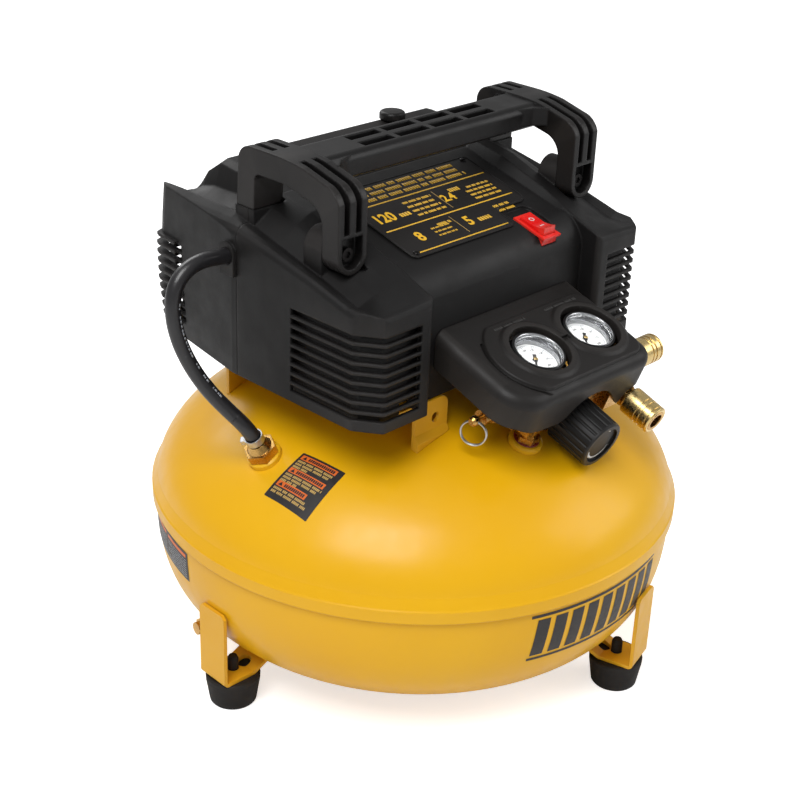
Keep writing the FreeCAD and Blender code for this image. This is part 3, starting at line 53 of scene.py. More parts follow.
class Shader:
    """A Principled material driven by procedural textures in object space."""

    def __init__(self, name):
        self.material = bpy.data.materials.new(name)
        materials[name] = self.material
        self.material.use_nodes = True
        self.tree = self.material.node_tree
        self.tree.nodes.clear()
        self.output = self.node("ShaderNodeOutputMaterial")
        self.surface = self.node("ShaderNodeBsdfPrincipled")
        self.link(self.surface.outputs[0], self.output.inputs[0])
        self.position = self.node("ShaderNodeTexCoord").outputs["Object"]

    def node(self, kind, **settings):
        node = self.tree.nodes.new(kind)
        for key, value in settings.items():
            setattr(node, key, value)
        return node

    def link(self, source, target):
        self.tree.links.new(source, target)

    def feed(self, socket, value):
        """Link a socket, or give the input a plain value."""
        if isinstance(value, bpy.types.NodeSocket):
            self.link(value, socket)
        else:
            socket.default_value = value

    def set(self, **values):
        """Feed Principled inputs; underscores stand for spaces."""
        for key, value in values.items():
            self.feed(self.surface.inputs[key.replace("_", " ")], value)

    def noise(self, scale, detail=3.0):
        node = self.node("ShaderNodeTexNoise")
        node.inputs["Scale"].default_value = scale
        node.inputs["Detail"].default_value = detail
        self.link(self.position, node.inputs["Vector"])
        return node.outputs["Fac"]

    def voronoi(self, scale):
        node = self.node("ShaderNodeTexVoronoi")
        node.inputs["Scale"].default_value = scale
        self.link(self.position, node.inputs["Vector"])
        return node.outputs["Distance"]

    def remap(self, value, source=(0.3, 0.7), target=(0.0, 1.0)):
        node = self.node("ShaderNodeMapRange")
        for key, limit in zip(("From Min", "From Max", "To Min", "To Max"), source + target):
            node.inputs[key].default_value = limit
        self.link(value, node.inputs["Value"])
        return node.outputs[0]

    def mottle(self, scale, detail=3.0, source=(0.3, 0.7), target=(0.0, 1.0)):
        """Noise with its source range stretched onto the target range."""
        return self.remap(self.noise(scale, detail), source, target)

    def math(self, operation, first, second):
        node = self.node("ShaderNodeMath", operation=operation)
        self.feed(node.inputs[0], first)
        self.feed(node.inputs[1], second)
        return node.outputs[0]

    def mix(self, factor, first, second):
        node = self.node("ShaderNodeMix", data_type="RGBA")
        for index, value in ((0, factor), (6, first), (7, second)):  # RGBA inputs are 6 and 7
            self.feed(node.inputs[index], value)
        return node.outputs[2]

    def convex_edge_mask(self, amount, full_at):
        """Up to amount on convex edges, in full from a pointiness of full_at."""
        geometry = self.node("ShaderNodeNewGeometry")
        edge = self.remap(geometry.outputs["Pointiness"], source=(0.53, full_at))
        return self.math("MULTIPLY", edge, amount)

    def bump(self, height, strength, distance, bevel=0.0):
        """Bump the surface, over edges rounded to the bevel radius (metres)."""
        node = self.node("ShaderNodeBump")
        node.inputs["Strength"].default_value = strength
        node.inputs["Distance"].default_value = distance
        self.link(height, node.inputs["Height"])
        if bevel > 0:
            rounding = self.node("ShaderNodeBevel", samples=4)
            rounding.inputs["Radius"].default_value = bevel
            self.link(rounding.outputs[0], node.inputs["Normal"])
        self.link(node.outputs[0], self.surface.inputs["Normal"])


# ---------------------------------------------------------------- materials
def paint(name, base, dark, edge_highlight_tone, roughness):
    """Coated paint with orange peel, dark specks and a painted highlight on convex edges."""
    base, dark, edge_highlight_tone = srgb(*base), srgb(*dark), srgb(*edge_highlight_tone)
    shader = Shader(name)
    broad = shader.noise(scale=5.0)
    fine = shader.noise(scale=90.0, detail=4.0)
    colour = shader.mix(shader.remap(broad), dark, base)
    # convex edges are painted lighter as a highlight
    colour = shader.mix(shader.convex_edge_mask(amount=0.22, full_at=0.66), colour, edge_highlight_tone)
    specks = shader.mottle(scale=420.0, detail=2.0, source=(0.70, 0.78), target=(0.0, 0.10))
    shader.set(Base_Color=shader.mix(specks, colour, dark))
    shader.set(Roughness=shader.remap(fine, target=roughness))
    shader.set(Coat_Weight=0.20, Coat_Roughness=0.24, Specular_IOR_Level=0.26)
    peel = shader.math(
        "ADD",
        shader.math("MULTIPLY", shader.noise(scale=330.0, detail=2.0), 0.7),
        shader.math("MULTIPLY", shader.noise(scale=1500.0, detail=2.0), 0.3))
    shader.bump(peel, strength=0.10, distance=0.00035, bevel=0.0008)


def plastic(name, base, edge_highlight_tone, roughness, grain, relief, bevel, coat=0.0, specular=0.25):
    """Grained plastic or rubber with dust and a painted highlight on convex edges."""
    base, edge_highlight_tone = srgb(*base), srgb(*edge_highlight_tone)
    shader = Shader(name)
    colour = shader.mix(shader.mottle(scale=14.0, detail=4.0), base, scaled(base, 1.35))
    # convex edges are painted lighter as a highlight; the dust below takes the same tone
    colour = shader.mix(shader.convex_edge_mask(amount=0.30, full_at=0.68), colour, edge_highlight_tone)
    dust = shader.mottle(scale=260.0, source=(0.64, 0.78), target=(0.0, 0.04))
    shader.set(Base_Color=shader.mix(dust, colour, edge_highlight_tone))
    shader.set(Roughness=shader.mottle(scale=60.0, target=roughness))
    shader.set(Specular_IOR_Level=specular, Coat_Weight=coat, Coat_Roughness=0.15)
    height = shader.math(
        "ADD",
        shader.math("MULTIPLY", shader.voronoi(grain), 0.65),
        shader.math("MULTIPLY", shader.noise(scale=grain * 1.7, detail=2.0), 0.35))
    shader.bump(height, strength=relief, distance=0.00028, bevel=bevel)


def metal(name, base, dark, roughness, bevel=0.0004, relief=0.08):
    base, dark = srgb(*base), srgb(*dark)
    shader = Shader(name)
    colour = shader.mix(shader.mottle(scale=40.0, detail=4.0, source=(0.35, 0.7)), base, dark)
    wear = shader.convex_edge_mask(amount=0.4, full_at=0.66)
    shader.set(Base_Color=shader.mix(wear, colour, scaled(base, 1.25)))
    fine = shader.noise(scale=500.0)
    shader.set(Roughness=shader.remap(fine, target=roughness), Metallic=1.0)
    shader.bump(fine, strength=relief, distance=0.0002, bevel=bevel)


def dial_white():
    shader = Shader("dial_white")
    shader.set(Base_Color=shader.mix(shader.mottle(scale=60.0),
                                     srgb(238, 238, 235), srgb(222, 223, 222)))
    shader.set(Roughness=shader.mottle(scale=200.0, target=(0.38, 0.5)))
    shader.bump(shader.noise(scale=900.0), strength=0.05, distance=0.0001)


def lens_clear():
    """Clear lens that lets shadow rays straight through."""
    shader = Shader("lens_clear")
    shader.set(Transmission_Weight=1.0, IOR=1.22, Roughness=0.02)
    shader.set(Base_Color=shader.mix(shader.noise(scale=30.0), (1, 1, 1, 1), (0.97, 0.98, 0.99, 1)))
    shader.set(Roughness=shader.mottle(scale=80.0, target=(0.0, 0.04)))
    shader.bump(shader.noise(scale=60.0), strength=0.02, distance=0.0001)
    light_path = shader.node("ShaderNodeLightPath")
    transparent = shader.node("ShaderNodeBsdfTransparent")
    switch = shader.node("ShaderNodeMixShader")
    shader.link(light_path.outputs["Is Shadow Ray"], switch.inputs[0])
    shader.link(shader.surface.outputs[0], switch.inputs[1])
    shader.link(transparent.outputs[0], switch.inputs[2])
    shader.link(switch.outputs[0], shader.output.inputs[0])


def ink(name, colour):
    colour = srgb(*colour)
    shader = Shader(name)
    fade = shader.mottle(scale=160.0, detail=4.0, source=(0.35, 0.75), target=(0.0, 0.35))
    shader.set(Base_Color=shader.mix(fade, colour, scaled(colour, 0.72)))
    shader.set(Roughness=shader.mottle(scale=300.0, target=(0.36, 0.50)))
    shader.bump(shader.noise(scale=1400.0), strength=0.06, distance=0.0001)


# name, base, dark patches, painted edge highlight, roughness range
PAINTS = (
    ("tank_paint", (228, 174, 10), (221, 164, 6), (242, 200, 70), (0.30, 0.42)),
    ("leg_paint", (222, 165, 10), (212, 152, 6), (240, 194, 76), (0.34, 0.48)),
)
# name, base, painted edge highlight tone (also the dust colour), roughness range, grain scale,
# grain strength, bevel radius (metres),
# then coat weight and specular level where they are not the default
PLASTICS = (
    ("shroud_plastic", (17, 16, 16), (64, 60, 58), (0.44, 0.56), 1100.0, 0.20, 0.0022),
    ("handle_plastic", (14, 13, 13), (66, 62, 60), (0.33, 0.44), 1300.0, 0.12, 0.0020),
    ("console_plastic", (25, 23, 22), (76, 72, 69), (0.40, 0.52), 1200.0, 0.18, 0.0018),
    ("knob_plastic", (19, 18, 18), (90, 88, 86), (0.34, 0.46), 1300.0, 0.12, 0.0005),
    ("switch_plastic", (16, 16, 16), (70, 70, 70), (0.30, 0.4), 1400.0, 0.08, 0.0004),
    ("rocker_red", (206, 18, 16), (240, 90, 70), (0.22, 0.32), 900.0, 0.05, 0.0006, 0.4),
    ("plate_black", (20, 18, 18), (50, 48, 46), (0.36, 0.46), 1600.0, 0.10, 0.0005),
    ("foot_rubber", (27, 25, 24), (70, 66, 62), (0.62, 0.78), 700.0, 0.35, 0.001),
    ("hose_rubber", (22, 21, 23), (70, 70, 72), (0.30, 0.42), 800.0, 0.12, 0.0, 0.15, 0.5),
    ("cord_rubber", (28, 28, 28), (64, 64, 64), (0.50, 0.62), 700.0, 0.25, 0.0),
)
# name, base, dark patches, roughness range,
# then bevel radius (metres) and bump strength where they are not the default
METALS = (
    ("brass", (232, 206, 146), (208, 178, 116), (0.22, 0.36)),
    ("brass_fitting", (214, 174, 104), (168, 124, 66), (0.20, 0.36)),
    ("steel", (196, 196, 198), (150, 150, 154), (0.24, 0.38)),
    ("zinc", (206, 208, 210), (168, 170, 172), (0.28, 0.44)),
    ("dark_iron", (84, 84, 88), (56, 56, 60), (0.38, 0.56)),
    ("cast_alloy", (176, 178, 182), (140, 142, 148), (0.42, 0.62), 0.0008, 0.45),
    ("black_bolt", (44, 42, 42), (26, 25, 25), (0.34, 0.5)),
)
INKS = (
    ("ink_black", (30, 26, 26)),
    ("ink_yellow", (226, 176, 42)),
    ("ink_orange", (216, 100, 26)),
    ("ink_sand", (186, 152, 84)),
    ("ink_white", (228, 228, 226)),
    ("ink_grey", (150, 154, 160)),
    ("ink_pink", (214, 120, 96)),
    ("ink_cream", (196, 184, 152)),
    ("ink_red", (120, 34, 16)),
    ("sealant", (226, 214, 190)),
)
for row in PAINTS:
    paint(*row)
for row in PLASTICS:
    plastic(*row)
for row in METALS:
    metal(*row)
dial_white()
lens_clear()
metal("chrome_ring", base=(216, 217, 219), dark=(170, 172, 176), roughness=(0.10, 0.22))
for row in INKS:
    ink(*row)

# ---------------------------------------------------------------- CAD pieces
# material: the CAD pieces made of it
FINISHES = {
    "tank_paint": "tank_upper_shell tank_lower_shell tank_bungs",
    "leg_paint": "leg_brackets saddle_brackets",
    "shroud_plastic": "front_shroud rear_shroud",
    "handle_plastic": "carry_handle intake_filter_cap",
    "console_plastic": "console_cover",
    "knob_plastic": "regulator_knob",
    "switch_plastic": "cooling_fan tank_gauge_case outlet_gauge_case pressure_switch",
    "rocker_red": "switch_housing switch_rocker",
    "plate_black": "rating_plate",
    "foot_rubber": "rubber_feet frame_isolators drive_belt",
    "hose_rubber": "delivery_hose",
    "cord_rubber": "cord_strain_relief power_cord mains_plug",
    "brass": "front_coupler_sleeve side_coupler_sleeve",
    "brass_fitting": "drain_valve_body drain_valve_screw manifold_block regulator_body "
                     "front_coupler_body side_coupler_body safety_valve_body "
                     "safety_valve_stem manifold_nipple check_valve",
    "steel": "crank_bearing valve_plate crankshaft motor_rotor motor_pulley",
    "zinc": "frame_screws pull_ring hose_clamp",
    "dark_iron": "crank_pulley motor_stator",
    "cast_alloy": "pump_frame cylinder cylinder_head piston_rod",
    "black_bolt": "handle_screws",
    "dial_white": "tank_gauge_dial outlet_gauge_dial",
    "lens_clear": "tank_gauge_lens outlet_gauge_lens",
    "ink_black": "tank_gauge_needle outlet_gauge_needle",
    "ink_cream": "rear_plate",
}
CREASE_ANGLE = math.radians(28.0)

finish_of = {piece: name for name, pieces in FINISHES.items() for piece in pieces.split()}
for piece, node in NODES.items():
    node.data.materials.clear()
    node.data.materials.append(materials[finish_of.get(piece, "shroud_plastic")])
    for polygon in node.data.polygons:
        polygon.use_smooth = True
        polygon.material_index = 0
    split = node.modifiers.new("crisp_edges", "EDGE_SPLIT")
    split.split_angle = CREASE_ANGLE
    split.use_edge_sharp = False

# ---------------------------------------------------------------- mesh helpers
# Solidify thicknesses (metres)
PRINT_THICKNESS = 0.00012
NUMBER_THICKNESS = 0.00008
FINE_THICKNESS = 0.00004
RAISED_THICKNESS = 0.0004


def add_piece(name, mesh, material, slot, body="chassis", smooth=True, thickness=0.0):
    piece = bpy.data.objects.new(name, mesh)
    scene.collection.objects.link(piece)
    mesh.materials.append(materials[material])
    for polygon in mesh.polygons:
        polygon.use_smooth = smooth
    if thickness:
        solidify = piece.modifiers.new("thick", "SOLIDIFY")
        solidify.thickness = thickness
        solidify.offset = -1.0
    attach(piece, body)


def build_mesh(name, verts, faces):
    mesh = bpy.data.meshes.new(name)
    mesh.from_pydata([tuple(vert) for vert in verts], [], faces)
    mesh.validate()
    mesh.update()
    return mesh


def curve_mesh(curve):
    """The mesh that a curve or text evaluates to."""
    holder = bpy.data.objects.new(curve.name, curve)
    scene.collection.objects.link(holder)
    depsgraph = bpy.context.evaluated_depsgraph_get()
    mesh = bpy.data.meshes.new_from_object(holder.evaluated_get(depsgraph))
    bpy.data.objects.remove(holder)
    return mesh


def bvh(piece):
    mesh = NODES[piece].data
    return BVHTree.FromPolygons([vert.co.copy() for vert in mesh.vertices],
                                [list(polygon.vertices) for polygon in mesh.polygons])


def within(quad, s, t):
    """The point at fractions s and t across a four-cornered flat shape."""
    return [(1 - t) * ((1 - s) * quad[0][axis] + s * quad[1][axis])
            + t * ((1 - s) * quad[3][axis] + s * quad[2][axis]) for axis in (0, 1)]


def flat_print(name, quads, material, slot, place, body="chassis",
               thickness=PRINT_THICKNESS, cell=6.0):
    """Cut (u, v) quads into cells no longer than cell and lay them down by place(u, v)."""
    verts, faces = [], []
    for quad in quads:
        length = max(math.dist(quad[0], quad[1]), math.dist(quad[3], quad[2]))
        depth = max(math.dist(quad[0], quad[3]), math.dist(quad[1], quad[2]))
        columns = max(1, int(math.ceil(length / cell)))
        rows = max(1, int(math.ceil(depth / cell)))
        base = len(verts)
        for j in range(rows + 1):
            for i in range(columns + 1):
                verts.append(place(*within(quad, i / columns, j / rows)))
        for j in range(rows):
            for i in range(columns):
                corner = base + j * (columns + 1) + i
                faces.append((corner, corner + 1, corner + columns + 2, corner + columns + 1))
    add_piece(name, build_mesh(name, verts, faces), material, slot, body, thickness=thickness)


def decal(name, quads, material, place, lift, cell):
    """Unthickened print on the tank, lifted off the paint."""
    flat_print(name, quads, material, "tank_yellow", lambda u, v: place(u, v, lift),
               thickness=0.0, cell=cell)


def number(name, text, size, material, slot, place, weight=1.0):
    """A numeral cut as thin geometry; place maps millimetres to a point."""
    curve = bpy.data.curves.new(name, "FONT")
    curve.body = text
    curve.size = size
    curve.align_x = "CENTER"
    curve.align_y = "CENTER"
    curve.resolution_u = 3
    curve.offset = size * 0.018 * weight
    outline = curve_mesh(curve)
    verts = [place(vert.co.x, vert.co.y) for vert in outline.vertices]
    faces = [list(polygon.vertices) for polygon in outline.polygons]
    bpy.data.meshes.remove(outline)
    add_piece(name, build_mesh(name, verts, faces), material, slot,
              smooth=False, thickness=NUMBER_THICKNESS)


def lathe(name, profile, place, material, slot, segments, body="chassis", thickness=0.0):
    """Turn a profile of (radius, height) pairs; place(x, y, height) sets it in the frame."""
    verts, faces = [], []
    for i in range(segments):
        angle = 2 * math.pi * i / segments
        verts += [place(*polar(radius, angle), height) for radius, height in profile]
    count = len(profile)
    for i in range(segments):
        for j in range(count - 1):
            here = i * count + j
            beside = ((i + 1) % segments) * count + j
            faces.append((here, beside, beside + 1, here + 1))
    add_piece(name, build_mesh(name, verts, faces), material, slot, body, thickness=thickness)


# ---------------------------------------------------------------- flat shapes
def rect(x0, y0, x1, y1):
    return [(x0, y0), (x1, y0), (x1, y1), (x0, y1)]


def polar(radius, angle):
    return (radius * math.cos(angle), radius * math.sin(angle))


def arc_block(first_radius, second_radius, start, end):
    return [polar(first_radius, start), polar(first_radius, end),
            polar(second_radius, end), polar(second_radius, start)]


def random_source(seed):
    """A small linear congruential generator of values from 0 to 1."""
    state = seed

    def draw():
        nonlocal state
        state = (state * 1103515245 + 12345) & 0x7FFFFFFF
        return state / 0x7FFFFFFF
    return draw


def words(start, end, y, height, draw, gap=0.28, shortest=1.4, longest=3.6):
    """Word-like runs of narrow strokes; gap and word lengths are in print heights."""
    strokes = []
    x = start
    while x < end - height * 0.4:
        width = height * (shortest + (longest - shortest) * draw())
        width = min(width, end - x)
        count = max(1, int(round(width / (height * 0.62))))
        pitch = width / count
        for i in range(count):
            strokes.append(rect(x + i * pitch + pitch * 0.10, y,
                                x + (i + 1) * pitch - pitch * 0.14, y + height))
        x += width + height * gap * 1.8
    return strokes


def lines(rows, draw, **spacing):
    """Print for rows of (start, end, y, height)."""
    return [stroke for row in rows for stroke in words(*row, draw, **spacing)]


# ---------------------------------------------------------------- placing
CONSOLE_Y, CONSOLE_Z = -80, 303
CONSOLE_COS, CONSOLE_SIN = math.cos(math.radians(20)), math.sin(math.radians(20))
TOP_Z = 365.75
TOP_SLOPE = math.atan(0.265)


def on_console(x, v, height):
    """v runs up the console's tilt, height out of its face."""
    return Vector((x * MM, (CONSOLE_Y + v * CONSOLE_COS - height * CONSOLE_SIN) * MM,
                   (CONSOLE_Z + v * CONSOLE_SIN + height * CONSOLE_COS) * MM))


def on_top(x, v, height):
    """v runs up the sloped top towards the back, height out of it."""
    return Vector((x * MM, (v * math.cos(TOP_SLOPE) - height * math.sin(TOP_SLOPE)) * MM,
                   (TOP_Z + v * math.sin(TOP_SLOPE) + height * math.cos(TOP_SLOPE)) * MM))


# ---------------------------------------------------------------- plates on the sloped top
PLATE_RULES = [rect(-68, -57.6, 31, -56.4), rect(-68, -27.6, 68, -26.4), rect(-68, 4.0, 69, 5.2)]
PLATE_DIVIDERS = [rect(-7.5, -53, -7.0, -31), rect(5.5, -23, 6.0, 1)]
# start, end, y, height of each line of print
HEADING_ROWS = [(-66, 54, y, 3.6) for y in (9.0, 15.4, 21.8)]
SMALL_ROWS = (
    [(-28, 1.5, y, 2.3) for y in (-9.5, -3.8, -15.2, -20.8)]
    + [(38, 62, -7.0, 2.2)]
    + [(33, 62, y, 2.2) for y in (-12.0, -17.0, -22.0)]
    + [(-33, -14, y, 1.6) for y in (-38.5, -43.0, -47.5)]
    + [(-24, -10, -37.0, 2.8)]
    + [(37, 56, y, 2.6) for y in (-37.0, -43.0)]
)
REAR_ROWS = [(-64, 18, y, 1.5) for y in (50.0, 53.4, 66.0, 69.4, 72.8)] + [(-64, 60, 59.0, 1.5)]
# start, end, y, word length in print heights
UNIT_MARKS = ((-42, -31, -16.5, 2.6), (20, 33, -6, 2.8), (12, 27, -46.0, 3.2))
UNIT_HEIGHT = 4.2
# text, centre x, centre y, size
PLATE_NUMBERS = (("120", -56, -12.5, 15), ("2.4", 13, -11.0, 12),
                 ("8", -48, -42.0, 15), ("5", 3.5, -42.0, 15))
NUMBER_WIDTH = 0.9
# x, v round the edge of the front plate
PLATE_OUTLINE = (
    (-72, -57.5), (-69, -60.5), (32, -60.5), (35, -57.5), (35, -46),
    (36, -42), (38.5, -39.4), (42, -38.3), (66, -38.3), (70.6, -36.4),
    (72.5, -32), (72.5, 26), (69.5, 29), (-69, 29), (-72, 26),
)
PLATE_PRINT_HEIGHT = 1.42
REAR_PRINT_HEIGHT = 1.02
RIM_HEIGHT = 1.0
RIM_RADIUS = 0.9 * MM


def plate_print(draw):
    def place(u, v):
        return on_top(u, v, PLATE_PRINT_HEIGHT)

    units = []
    for start, end, y, length in UNIT_MARKS:
        units.append(((start, end, y, UNIT_HEIGHT), length))
    heading = lines(HEADING_ROWS, draw, gap=0.35, shortest=1.6, longest=4.6)
    small = lines(SMALL_ROWS, draw)
    unit_blocks = [stroke for row, length in units
                   for stroke in words(*row, draw, gap=0.1, shortest=length, longest=length)]
    for name, quads, material in (
            ("plate_rules", PLATE_RULES, "ink_yellow"),
            ("plate_dividers", PLATE_DIVIDERS, "ink_sand"),
            ("plate_heading", heading, "ink_yellow"),
            ("plate_small_print", small, "ink_yellow"),
            ("plate_units", unit_blocks, "ink_yellow")):
        flat_print(name, quads, material, "plate_print", place)
    for text, centre_x, centre_y, size in PLATE_NUMBERS:
        number("plate_number_" + text.replace(".", "_"), text, size, "ink_yellow", "plate_print",
               lambda x, y: place(centre_x + x * NUMBER_WIDTH, centre_y + y), weight=1.6)


def plate_rim():
    """The raised rim round the front plate."""
    curve = bpy.data.curves.new("plate_rim", "CURVE")
    curve.dimensions = "3D"
    spline = curve.splines.new("POLY")
    spline.points.add(len(PLATE_OUTLINE) - 1)
    for point, (x, v) in zip(spline.points, PLATE_OUTLINE):
        point.co = (*on_top(x, v, RIM_HEIGHT), 1.0)
    spline.use_cyclic_u = True
    curve.bevel_depth = RIM_RADIUS
    curve.bevel_resolution = 2
    mesh = curve_mesh(curve)
    mesh.name = "plate_rim"
    mesh.materials.clear()
    for polygon in mesh.polygons:
        polygon.material_index = 0
    add_piece("plate_rim", mesh, "shroud_plastic", "shroud_black")


def rear_plate_print(draw):
    def place(u, v):
        return on_top(u, v, REAR_PRINT_HEIGHT)

    text = lines(REAR_ROWS, draw, gap=0.3, shortest=1.5, longest=4.0)
    flat_print("rear_plate_print", text, "ink_grey", "rear_print", place)
    flat_print("rear_plate_band", [rect(22, 49, 62, 55)], "ink_pink", "rear_print", place)


plate_draw = random_source(7)
plate_print(plate_draw)
plate_rim()
rear_plate_print(plate_draw)

# ---------------------------------------------------------------- rocker marks
ROCKER_X, ROCKER_Y, ROCKER_Z = 54, -63.5, 348.9
ROCKER_TILT = math.radians(15.5)
RING_Y = 5.0
RING_OUTER, RING_INNER = 2.3, 1.6
RING_SEGMENTS = 20
rocker_tree = bvh("switch_rocker")


def rocker_point(x, y, z):
    cos, sin = math.cos(ROCKER_TILT), math.sin(ROCKER_TILT)
    return Vector(((ROCKER_X + x) * MM, (ROCKER_Y + y * cos - z * sin) * MM,
                   (ROCKER_Z + y * sin + z * cos) * MM))


def on_rocker(x, y):
    """The rocker's surface, or a plane 2 mm above its origin where the ray misses."""
    origin = rocker_point(x, y, 15.0)
    inward = (rocker_point(x, y, -15.0) - origin).normalized()
    spot = rocker_tree.ray_cast(origin, inward)[0]
    return spot - inward * PRINT_THICKNESS if spot else rocker_point(x, y, 2.0)


ring = [arc_block(RING_OUTER, RING_INNER, 2 * math.pi * i / RING_SEGMENTS,
                  2 * math.pi * (i + 1) / RING_SEGMENTS) for i in range(RING_SEGMENTS)]
flat_print("rocker_mark_ring", ring, "ink_white", "rocker_red",
           lambda x, y: on_rocker(x, RING_Y + y), body="rocker")
flat_print("rocker_mark_bar", [rect(-2.2, -5.8, 2.2, -5.0)], "ink_white", "rocker_red",
           on_rocker, body="rocker")

# ---------------------------------------------------------------- tank decals
TANK_SPLIT_Z = 124.0  # side rays below this use the lower shell, others the upper
upper_tree, lower_tree = bvh("tank_upper_shell"), bvh("tank_lower_shell")
decal_draw = random_source(21)
DECAL_SPACING = {"gap": 0.25, "shortest": 2.0, "longest": 4.5}


def on_tank(x, y, lift):
    """The upper head at a plan position, or a flat stand-in where the ray misses."""
    origin = Vector((x * MM, y * MM, 0.5))
    spot, normal = upper_tree.ray_cast(origin, Vector((0, 0, -1)))[:2]
    return spot + normal * lift * MM if spot else Vector((x * MM, y * MM, 0.2))


def on_side(degrees, z, lift):
    """The tank's side, or a 208 mm cylinder where the ray misses."""
    angle = math.radians(degrees)
    outward = Vector((math.cos(angle), math.sin(angle), 0))
    level = Vector((0, 0, z * MM))
    tree = lower_tree if z < TANK_SPLIT_Z else upper_tree
    spot, normal = tree.ray_cast(outward * 0.4 + level, -outward)[:2]
    return spot + normal * lift * MM if spot else outward * 0.208 + level


# Hot decal on the left of the upper head: u runs to the front, v runs outwards
HOT_CORNERS = [(-139, -19), (-134, -58), (-173, -58.5), (-175.5, -17)]  # plan x, y
HOT_WIDTH, HOT_DEPTH = 40.0, 48.0
HOT_CHAMFER = 0.6
HOT_CELL = 1.6
HOT_MARGIN = 2.0
HOT_BAR_DEPTH = 5.0
# bar's v, bar's length, ends of the lines of print after it
HOT_PANELS = (
    (2.0, 33.0, (36.0, 33.0, 17.0)),
    (17.0, 33.0, (36.0, 33.0, 17.0)),
    (31.5, 27.0, (33.0, 34.0)),
)


def on_hot_decal(u, v, lift):
    return on_tank(*within(HOT_CORNERS, u / HOT_WIDTH, v / HOT_DEPTH), lift)


def hot_decal():
    left, right = HOT_CHAMFER, HOT_WIDTH - HOT_CHAMFER
    low, high = HOT_CHAMFER, HOT_DEPTH - HOT_CHAMFER
    base = [rect(left, 0, right, HOT_DEPTH),
            [(0, low), (left, 0), (left, HOT_DEPTH), (0, high)],
            [(right, 0), (HOT_WIDTH, low), (HOT_WIDTH, high), (right, HOT_DEPTH)]]
    bars, marks, text = [], [], []
    for v, length, ends in HOT_PANELS:
        bar_end = HOT_MARGIN + length
        bars.append(rect(HOT_MARGIN, v, bar_end, v + HOT_BAR_DEPTH))
        # a narrow-tipped wedge, then one long run of strokes
        marks.append([(3.6, v + 4.2), (7.4, v + 4.2), (5.6, v + 0.9), (5.4, v + 0.9)])
        marks += words(8.6, bar_end - 1.5, v + 1.1, 2.9, decal_draw,
                       gap=0.12, shortest=9.0, longest=12.0)
        rows = [(HOT_MARGIN, end, v + 6.2 + 3.1 * i, 2.1) for i, end in enumerate(ends)]
        text += lines(rows, decal_draw, **DECAL_SPACING)
    for name, quads, material, lift in (
            ("hot_decal_base", base, "ink_black", 0.22),
            ("hot_decal_bars", bars, "ink_orange", 0.30),
            ("hot_decal_marks", marks, "ink_black", 0.36),
            ("hot_decal_print", text, "ink_sand", 0.30)):
        decal(name, quads, material, on_hot_decal, lift, HOT_CELL)


# Band on the front of the lower head: slanted blocks between two rules
BAND_START, BAND_END = -112.0, -73.5  # degrees round the tank
BAND_BOTTOM_Z, BAND_TOP_Z = 80.0, 121.0
BAND_LENGTH, BAND_HEIGHT = 150, BAND_TOP_Z - BAND_BOTTOM_Z
BAND_RULE = 2.4
BLOCK_COUNT, BLOCK_PITCH, BLOCK_WIDTH, BLOCK_SLANT = 9, 16.4, 11.5, 4.0
BLOCK_BOTTOM, BLOCK_TOP = 4.6, 36.4
SIDE_CELL = 3.0


def on_band(u, v, lift):
    return on_side(BAND_START + (BAND_END - BAND_START) * u / BAND_LENGTH,
                   BAND_BOTTOM_Z + v, lift)


def band_graphic():
    quads = [rect(0, BAND_HEIGHT - BAND_RULE, BAND_LENGTH, BAND_HEIGHT),
             rect(0, 0, BAND_LENGTH, BAND_RULE)]
    for k in range(BLOCK_COUNT):
        x = 2.0 + BLOCK_PITCH * k
        end = x + BLOCK_WIDTH
        quads.append([(x, BLOCK_BOTTOM), (end, BLOCK_BOTTOM),
                      (end + BLOCK_SLANT, BLOCK_TOP), (x + BLOCK_SLANT, BLOCK_TOP)])
    decal("band_graphic", quads, "ink_black", on_band, lift=0.25, cell=SIDE_CELL)


# Two-column label on the rear left of the lower head, in its own units across and up
LABEL_WIDTH, LABEL_HEIGHT = 104, 44
LABEL_START, LABEL_SWEEP = 147.0, 22.5  # degrees round the tank
LABEL_Z, LABEL_RISE = 95.0, 25.0
COLUMN_PITCH, COLUMN_WIDTH = 50, 44


def on_side_label(u, v, lift):
    return on_side(LABEL_START + LABEL_SWEEP * (1 - u / LABEL_WIDTH),
                   LABEL_Z + LABEL_RISE * v / LABEL_HEIGHT, lift)


def side_label():
    bars, text = [], []
    for k in range(2):
        start = 4 + COLUMN_PITCH * k
        end = start + COLUMN_WIDTH
        bars.append(rect(start, 35, end, 40))
        # every third line is shorter
        rows = [(start, end - 8 * (i % 3 == 2), 30.0 - 3.8 * i, 1.8) for i in range(8)]
        text += lines(rows, decal_draw, **DECAL_SPACING)
    for name, quads, material, lift in (
            ("side_label_base", [rect(0, 0, LABEL_WIDTH, LABEL_HEIGHT)], "ink_black", 0.25),
            ("side_label_bars", bars, "ink_orange", 0.33),
            ("side_label_print", text, "ink_grey", 0.33)):
        decal(name, quads, material, on_side_label, lift, SIDE_CELL)


hot_decal()
band_graphic()
side_label()

# ---------------------------------------------------------------- gauges
GAUGES = (("tank", -12.3), ("outlet", 45.2))  # name, centre x
GAUGE_V = -50.8
DIAL_HEIGHT = -9.05
DIAL_START, DIAL_SWEEP = 232.0, 284.0  # degrees, clockwise
TICK_STEPS, ARC_STEPS, NUMBER_STEPS = 40, 56, 8
TICK_OUTER = 15.6
LONG_TICK = (12.7, 0.24)  # inner radius, half width
SHORT_TICK = (13.9, 0.12)
DIAL_ARCS = ((TICK_OUTER, 15.82), (8.2, 8.32))  # inner and outer radius
NUMBER_RADIUS = 11.0
